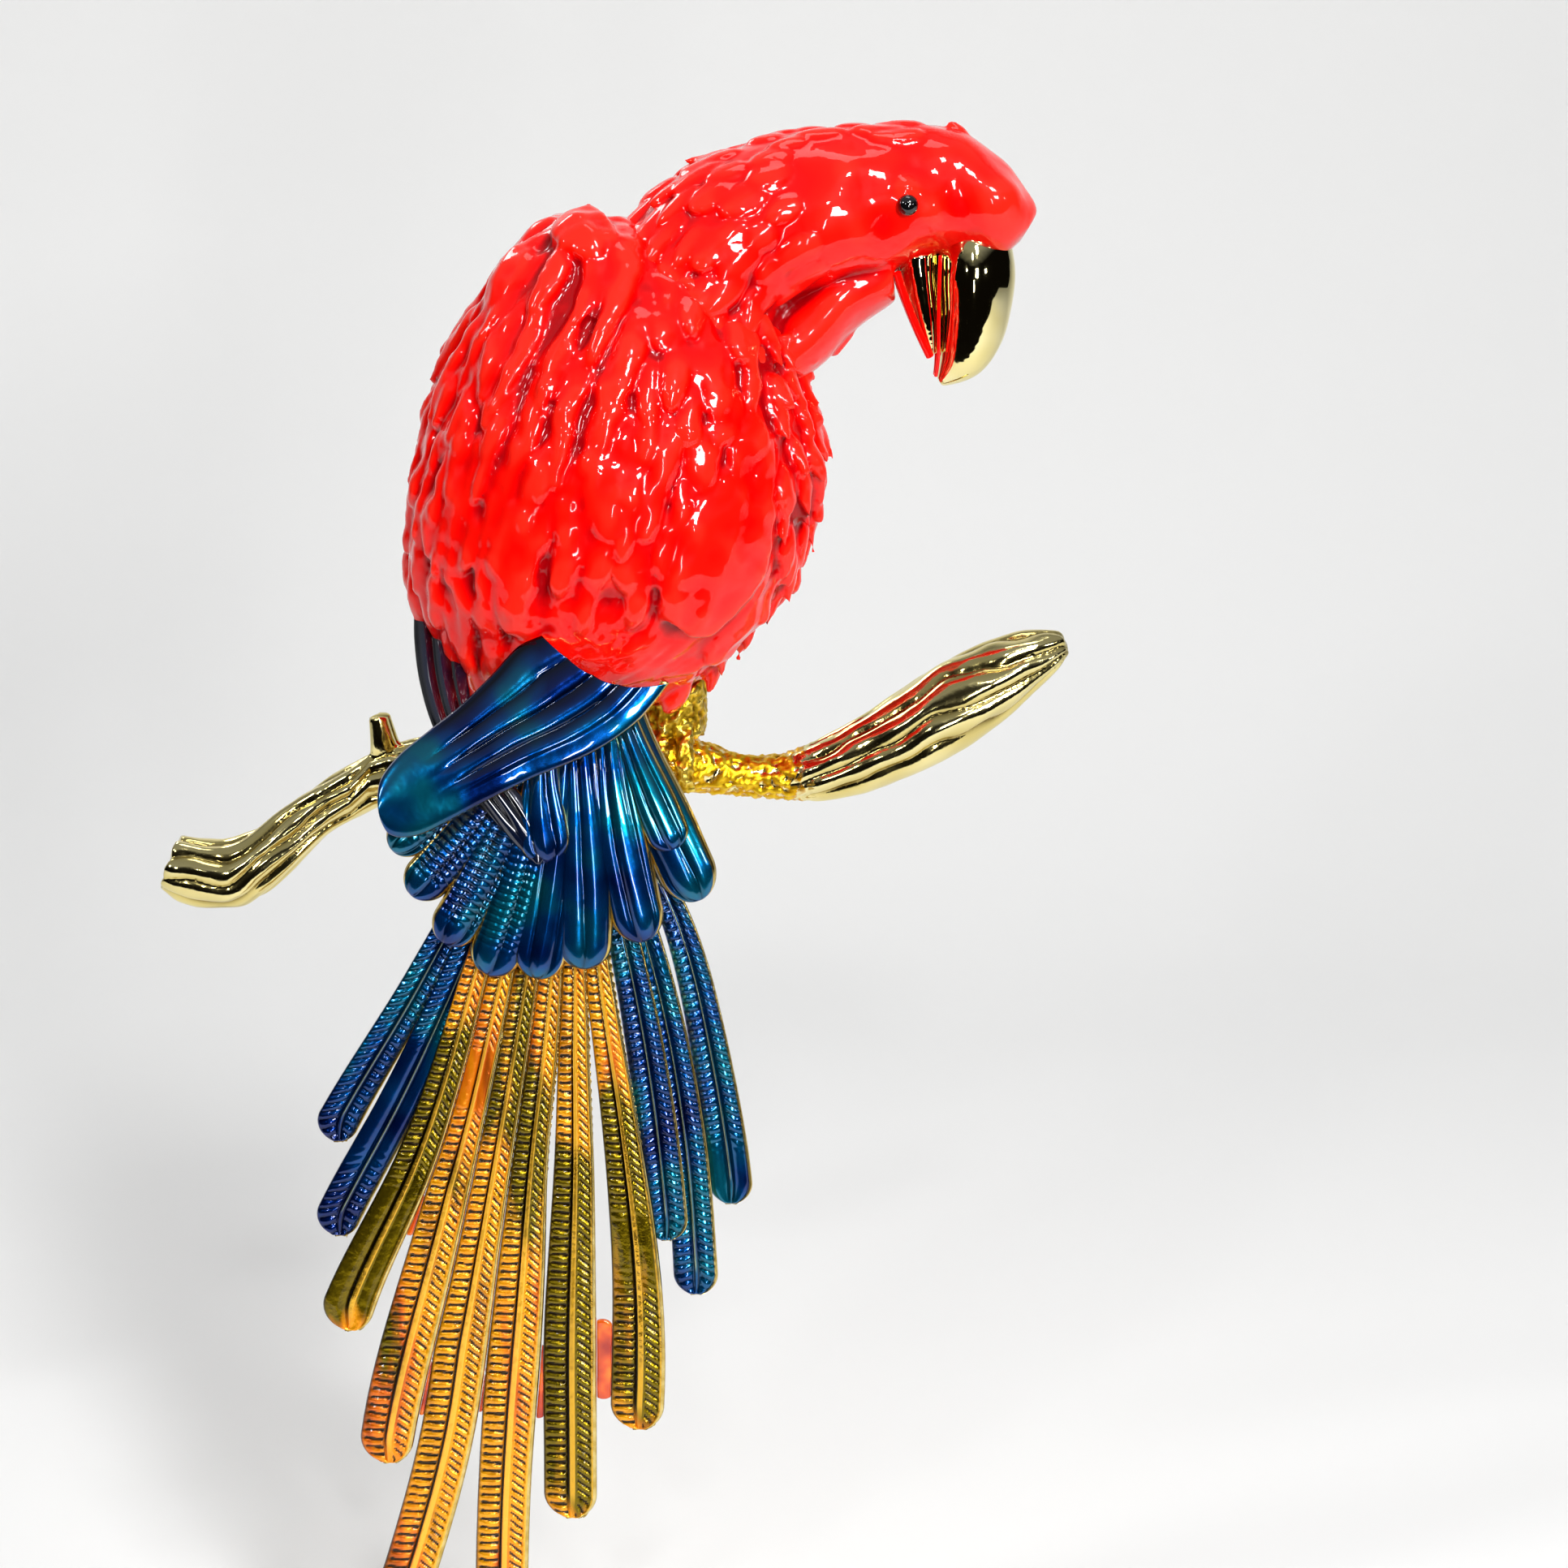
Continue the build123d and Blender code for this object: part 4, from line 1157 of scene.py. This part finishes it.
# bare gilding on the edges and backs of every enamelled plate: a soft metal sheen with faint file marks
gilt_rim, tree, shader = enamel_shader("gilt_plate_rim", {"Metallic": 1.0, "Roughness": 0.24})
spot = add_node(tree, "ShaderNodeTexCoord")
file_marks = add_node(
    tree, "ShaderNodeTexNoise", {"Scale": 600.0, "Detail": 2.0}, {"Vector": spot.outputs["Object"]}
)
tone = add_node(
    tree,
    "ShaderNodeValToRGB",
    {"stops": [(0.3, "#C8A850"), (0.7, "#EAD48C")]},
    {"Fac": file_marks.outputs["Fac"]},
).outputs["Color"]
tree.links.new(tone, shader.inputs["Base Color"])

# where the amber pools thick enough to look olive: from this height down to this one, and how much
POOL_FADE = 12
POOLS = {
    1: (-20.0, -74.0, 0.42),
    2: (-38.0, -60.0, 0.16),
    3: (-10.0, -50.0, 0.20),
    4: (-26.0, -66.0, 0.24),
    5: (-36.0, -106.0, 0.36),
    6: (-30.0, -90.0, 0.40),
}
for number, (first_z, last_z, depth) in POOLS.items():
    node = f"yellow_tail_feather_{number}"
    feather = tail_feather(node, amber_face, number, AMBER_LIFT, amber)
    depths = []
    for vertex in feather.data.vertices:
        z = vertex.co.z / MM
        reach = smoothstep(last_z, last_z + POOL_FADE, z) - smoothstep(first_z - POOL_FADE, first_z, z)
        depths.append(depth * reach)
    paint_values(feather, "pool", depths)
    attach(feather, "root")
    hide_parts(node)
for number, place_name in enumerate(("left_1", "left_2", "right_1", "right_2", "right_3")):
    node = f"blue_tail_feather_{place_name}"
    feather = tail_feather(node, blue_face, 11 + number, BLUE_LIFT, royal)
    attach(feather, "root")
    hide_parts(node)

# ------------------------------------------------------------------------------------------------ solder and bracket
# Webs of solder hold neighbouring amber feathers apart near their tips, under a thick orange enamel. The
# strap from the torso to the tail's root, the screws and the neck's dowel are plain metal.
WEB_GRAIN = 0.16

# thick orange enamel, blotched with red where it is deep and with yellow where it is thin
orange, tree, shader = enamel_shader(
    "orange_enamel_on_solder", {
        "Metallic": 0.2, "Roughness": 0.25, "Coat Weight": 1.0, "Coat Roughness": 0.05
    }
)
spot = add_node(tree, "ShaderNodeTexCoord")
blotch = add_node(
    tree, "ShaderNodeTexNoise", {"Scale": 260.0, "Detail": 2.0}, {"Vector": spot.outputs["Object"]}
)
tone = add_node(
    tree,
    "ShaderNodeValToRGB",
    {"stops": [(0.3, "#A82200"), (0.55, "#DC4C02"), (0.75, "#F08A0C")]},
    {"Fac": blotch.outputs["Fac"]},
).outputs["Color"]
tree.links.new(tone, shader.inputs["Base Color"])
webs = copy_of("solder_bridges", "solder_webs")
remesh(webs, WEB_GRAIN, 4)
webs.data.materials.append(orange)
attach(webs, "root")
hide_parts("solder_bridges")

# turned steel, neither plated nor enamelled: grey, with fine tool marks
turned_steel, tree, shader = enamel_shader("turned_steel", {"Metallic": 1.0, "Base Color": colour("#B8B8B4")})
spot = add_node(tree, "ShaderNodeTexCoord")
lathe = add_node(tree, "ShaderNodeTexNoise", {"Scale": 2000.0}, {"Vector": spot.outputs["Object"]})
finish = add_node(
    tree, "ShaderNodeValToRGB", {"stops": [(0.3, 0.28), (0.7, 0.42)]}, {"Fac": lathe.outputs["Fac"]}
).outputs["Color"]
tree.links.new(finish, shader.inputs["Roughness"])
for node, material in (
    ("neck_dowel", turned_steel), ("leg_screws", turned_steel), ("tail_bracket", gilt_rim)
):
    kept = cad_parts[node]
    if kept.material_slots:
        for material_slot in kept.material_slots:
            material_slot.material = material
    else:
        kept.data.materials.append(material)

# ------------------------------------------------------------------------------------------------ tail coverts
# Two fans of short feathers over the tail's root, each feather a long round-ended drop of blue enamel with a
# gilt edge. The right-hand ones are smooth, and the left-hand ones keep their barbs.

# root x, z; bend x, z; tip x, z; width; depth of barbs; how far it stands out
UPPER_COVERTS = [
    ((-8.5, 17.0), (-19.0, 8.6), (-29.8, 0.2), 6.2, 0.24, 0.0),
    ((-8.0, 16.5), (-17.4, 4.6), (-27.1, -6.2), 6.6, 0.24, 0.3),
    ((-7.5, 16.0), (-14.6, 1.0), (-22.7, -13.0), 6.8, 0.22, 0.6),
    ((-6.6, 15.5), (-11.0, -2.0), (-16.7, -17.4), 7.4, 0.10, 0.9),
    ((-5.2, 15.0), (-6.9, -2.2), (-10.0, -17.8), 7.4, 0.0, 1.2),
    ((-3.6, 15.0), (-2.8, -1.6), (-3.3, -16.4), 7.8, 0.0, 1.5),
    ((-8.6, 14.0), (-8.6, 5.5), (-7.6, -1.0), 7.4, 0.0, 2.2),
]
SIDE_COVERTS = [
    ((0.6, 18.0), (2.2, 3.0), (5.2, -12.6), 7.4, 0.0, 1.2),
    ((3.0, 18.0), (7.6, 6.0), (13.2, -6.8), 8.0, 0.0, 0.6),
    ((2.6, 18.0), (6.6, 8.0), (9.6, 0.6), 6.0, 0.0, 1.8),
]
COVERT_COLUMNS, COVERT_ROW_STEP = 28, 0.22
COVERT_BODY, COVERT_STAND = 0.8, 0.9
COVERT_BARB_PITCH, DEEPEST_BARBS = 1.15, 0.22
DOME_RELIEF = 0.85  # the most, so that no bare quill shows
FACE_MARGIN = 0.05  # kept from a plate's ends when its front face is read


def covert(name, at, reach, root, bend, tip, width, barbs, out, seed):
    """A domed strip along a bent line from root to tip, laid on a CAD plate and standing out from it by out."""
    length = (Vector(tip) - Vector(root)).length
    rows = int(length / COVERT_ROW_STEP)
    round_end = 0.55 * width / length
    knee = [2 * bend[axis] - (root[axis] + tip[axis]) / 2 for axis in (0, 1)]

    def place(u, v):
        share = v if v > round_end else round_end * (1 - math.cos(math.pi / 2 * v / round_end))
        t = 1 - share
        a, b, c = (1 - t) ** 2, 2 * t * (1 - t), t * t
        x, z = [a * root[axis] + b * knee[axis] + c * tip[axis] for axis in (0, 1)]
        slope_x, slope_z = [
            2 * (1 - t) * (knee[axis] - root[axis]) + 2 * t * (tip[axis] - knee[axis]) for axis in (0, 1)
        ]
        across = Vector((-slope_z, slope_x)).normalized()
        rounded = math.sqrt(max(1 - (1 - min(share / round_end, 1.0)) ** 2, 0.0))
        half = width / 2 * rounded * (1.0 - 0.35 * smoothstep(0.35, 1.0, v))
        offset = (2 * u - 1) * half
        dome = math.sqrt(max(1 - (2 * u - 1) ** 2, 0.0))
        quill = math.exp(-(((u - 0.5) / 0.05) ** 2))
        folds = abs(math.sin(math.pi * 2.4 * u + seed + 0.9 * share)) ** 0.6
        slant = 0.5 * u if u > 0.5 else 0.8 - 0.5 * u
        cut = barb_cut(share * length / COVERT_BARB_PITCH + slant) * smoothstep(0.08, 0.2, share) * dome
        height = (1.1 * dome + 0.6 * folds * dome + 0.1 * quill) * rounded - barbs * cut
        flat_x, flat_z = x + across.x * offset, z + across.y * offset
        front = at(min(max(flat_z, reach[0]), reach[1]))[2]
        # painted shade and light for the blue enamel: dark between the folds, in the barb cuts and at the lobe's
        # edges, paler on the folds' crests
        shade = 0.30 + 0.34 * folds - 0.30 * cut * (barbs / DEEPEST_BARBS) - 0.3 * (1 - dome) ** 2
        y = front + COVERT_STAND - out - height
        return Vector((flat_x, y, flat_z)), min(max(shade, 0.0), DOME_RELIEF)

    made = shaped_grid(name, COVERT_COLUMNS, rows, place)
    sides = (0, 1, COVERT_COLUMNS - 2, COVERT_COLUMNS - 1)

    def on_rim(index):
        return index % COVERT_COLUMNS in sides or index < 2 * COVERT_COLUMNS

    back_and_rim(made, COVERT_BODY, on_rim, royal)
    return made


for name, node, fan in (
    ("enamelled_upper_coverts", "upper_tail_coverts", UPPER_COVERTS),
    ("enamelled_side_coverts", "side_tail_coverts", SIDE_COVERTS),
):
    at = outline_of(node)
    low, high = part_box(node)
    reach = (low[2] / MM + FACE_MARGIN, high[2] / MM - FACE_MARGIN)
    blades = [
        covert(f"covert_{index}", at, reach, *feather, 1.7 * index) for index, feather in enumerate(fan)
    ]
    coverts = blades[0]
    join_to(coverts, blades[1:])
    coverts.name = name
    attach(coverts, "root")
    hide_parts(node)

# ------------------------------------------------------------------------------------------------ wing tips
# The long flight feathers of both folded wings, cast as curved blades with a ridge for each feather. The
# right one is royal blue and crosses over the navy left one, whose point shows below it.

# each edge runs from the tip to the root: x, z
RIGHT_LOWER_EDGE = [
    (-30.7, 7.0), (-29.2, 3.6), (-25.0, 3.5), (-18.0, 7.0),
    (-10.0, 10.9), (-1.5, 14.4), (4.6, 18.4), (9.0, 23.4),
]
RIGHT_UPPER_EDGE = [
    (-30.7, 7.0), (-30.5, 10.6), (-28.0, 14.0), (-24.0, 17.2),
    (-19.5, 20.6), (-15.5, 24.4), (-12.0, 28.0), (-8.6, 29.6),
]
LEFT_INNER_EDGE = [
    (-9.0, -1.7), (-8.0, 0.6), (-10.2, 6.4), (-15.2, 13.5),
    (-19.0, 20.0), (-20.5, 26.0), (-20.6, 33.5),
]
LEFT_OUTER_EDGE = [
    (-9.0, -1.7), (-11.6, 0.6), (-15.8, 5.4), (-21.0, 12.4),
    (-25.8, 20.0), (-27.9, 26.5), (-28.4, 33.5),
]
WING_ROWS, WING_COLUMNS = 190, 64
WING_BODY, WING_STAND = 1.2, 0.7


def wing_tip(node, lower, upper, ridges, ridge_from, dome_height, sag, glass):
    """A blade between two edges, ridged along its length from a share of it on, laid on its CAD plate."""
    at = outline_of(node)
    low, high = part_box(node)
    bottom, top = low[2] / MM + FACE_MARGIN, high[2] / MM - FACE_MARGIN

    def place(u, v):
        first, second = spline_through(lower, v), spline_through(upper, v)
        x, z = first[0] + (second[0] - first[0]) * u, first[1] + (second[1] - first[1]) * u
        z -= sag * math.sin(math.pi * u) * smoothstep(0.6, 1.0, v)
        front = at(min(max(z, bottom), top))[2]
        dome = math.sqrt(max(1 - (2 * u - 1) ** 2, 0.0)) * smoothstep(0.0, 0.08, v)
        bend = u + 0.05 * math.sin(3 * v)
        fold = abs(math.sin(math.pi * ridges * bend)) ** 0.8
        ridged = smoothstep(ridge_from, ridge_from + 0.2, v) * smoothstep(0.16, 0.26, u)
        height = dome_height * dome + 0.85 * (fold - 0.6) * ridged * dome + 0.12 * noise(
            Vector((x, z, 0)) / 4
        )
        # painted shade for the blue and navy enamel: darker in the valleys between ridges and towards the edges
        shade = 0.56 - 0.56 * (1 - fold) * ridged - 0.25 * (1 - dome) ** 2
        return Vector((x, front + WING_STAND - height, z)), min(max(shade, 0.0), DOME_RELIEF)

    made = shaped_grid("enamelled_" + node, WING_COLUMNS, WING_ROWS, place)
    back_and_rim(made, WING_BODY, lambda index: index % WING_COLUMNS == 0, glass)
    return made


# navy glass, with painted shade: nearly black in the valleys between ridges and towards the edges
navy, tree, shader = enamel_shader(
    "navy_translucent_enamel", {
        "Metallic": 0.3, "Coat Weight": 1.0, "Coat Roughness": 0.03, "Coat IOR": 1.55, "Roughness": 0.2
    }
)
relief = add_node(tree, "ShaderNodeAttribute", {"attribute_name": "relief"})
# painted shade: low relief turns near black
tone = add_node(
    tree,
    "ShaderNodeValToRGB",
    {"stops": [(0.0, "#010207"), (0.4, "#040818"), (0.7, "#0C1838")]},
    {"Fac": relief.outputs["Fac"]},
).outputs["Color"]
tree.links.new(tone, shader.inputs["Base Color"])

right_wing = wing_tip("right_wing_tip", RIGHT_LOWER_EDGE, RIGHT_UPPER_EDGE, 5.0, 0.36, 1.5, 2.6, royal)
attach(right_wing, "root")
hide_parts("right_wing_tip")
left_wing = wing_tip("left_wing_tip", LEFT_INNER_EDGE, LEFT_OUTER_EDGE, 3.0, 0.2, 1.0, 0.0, navy)
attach(left_wing, "root")
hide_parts("left_wing_tip")
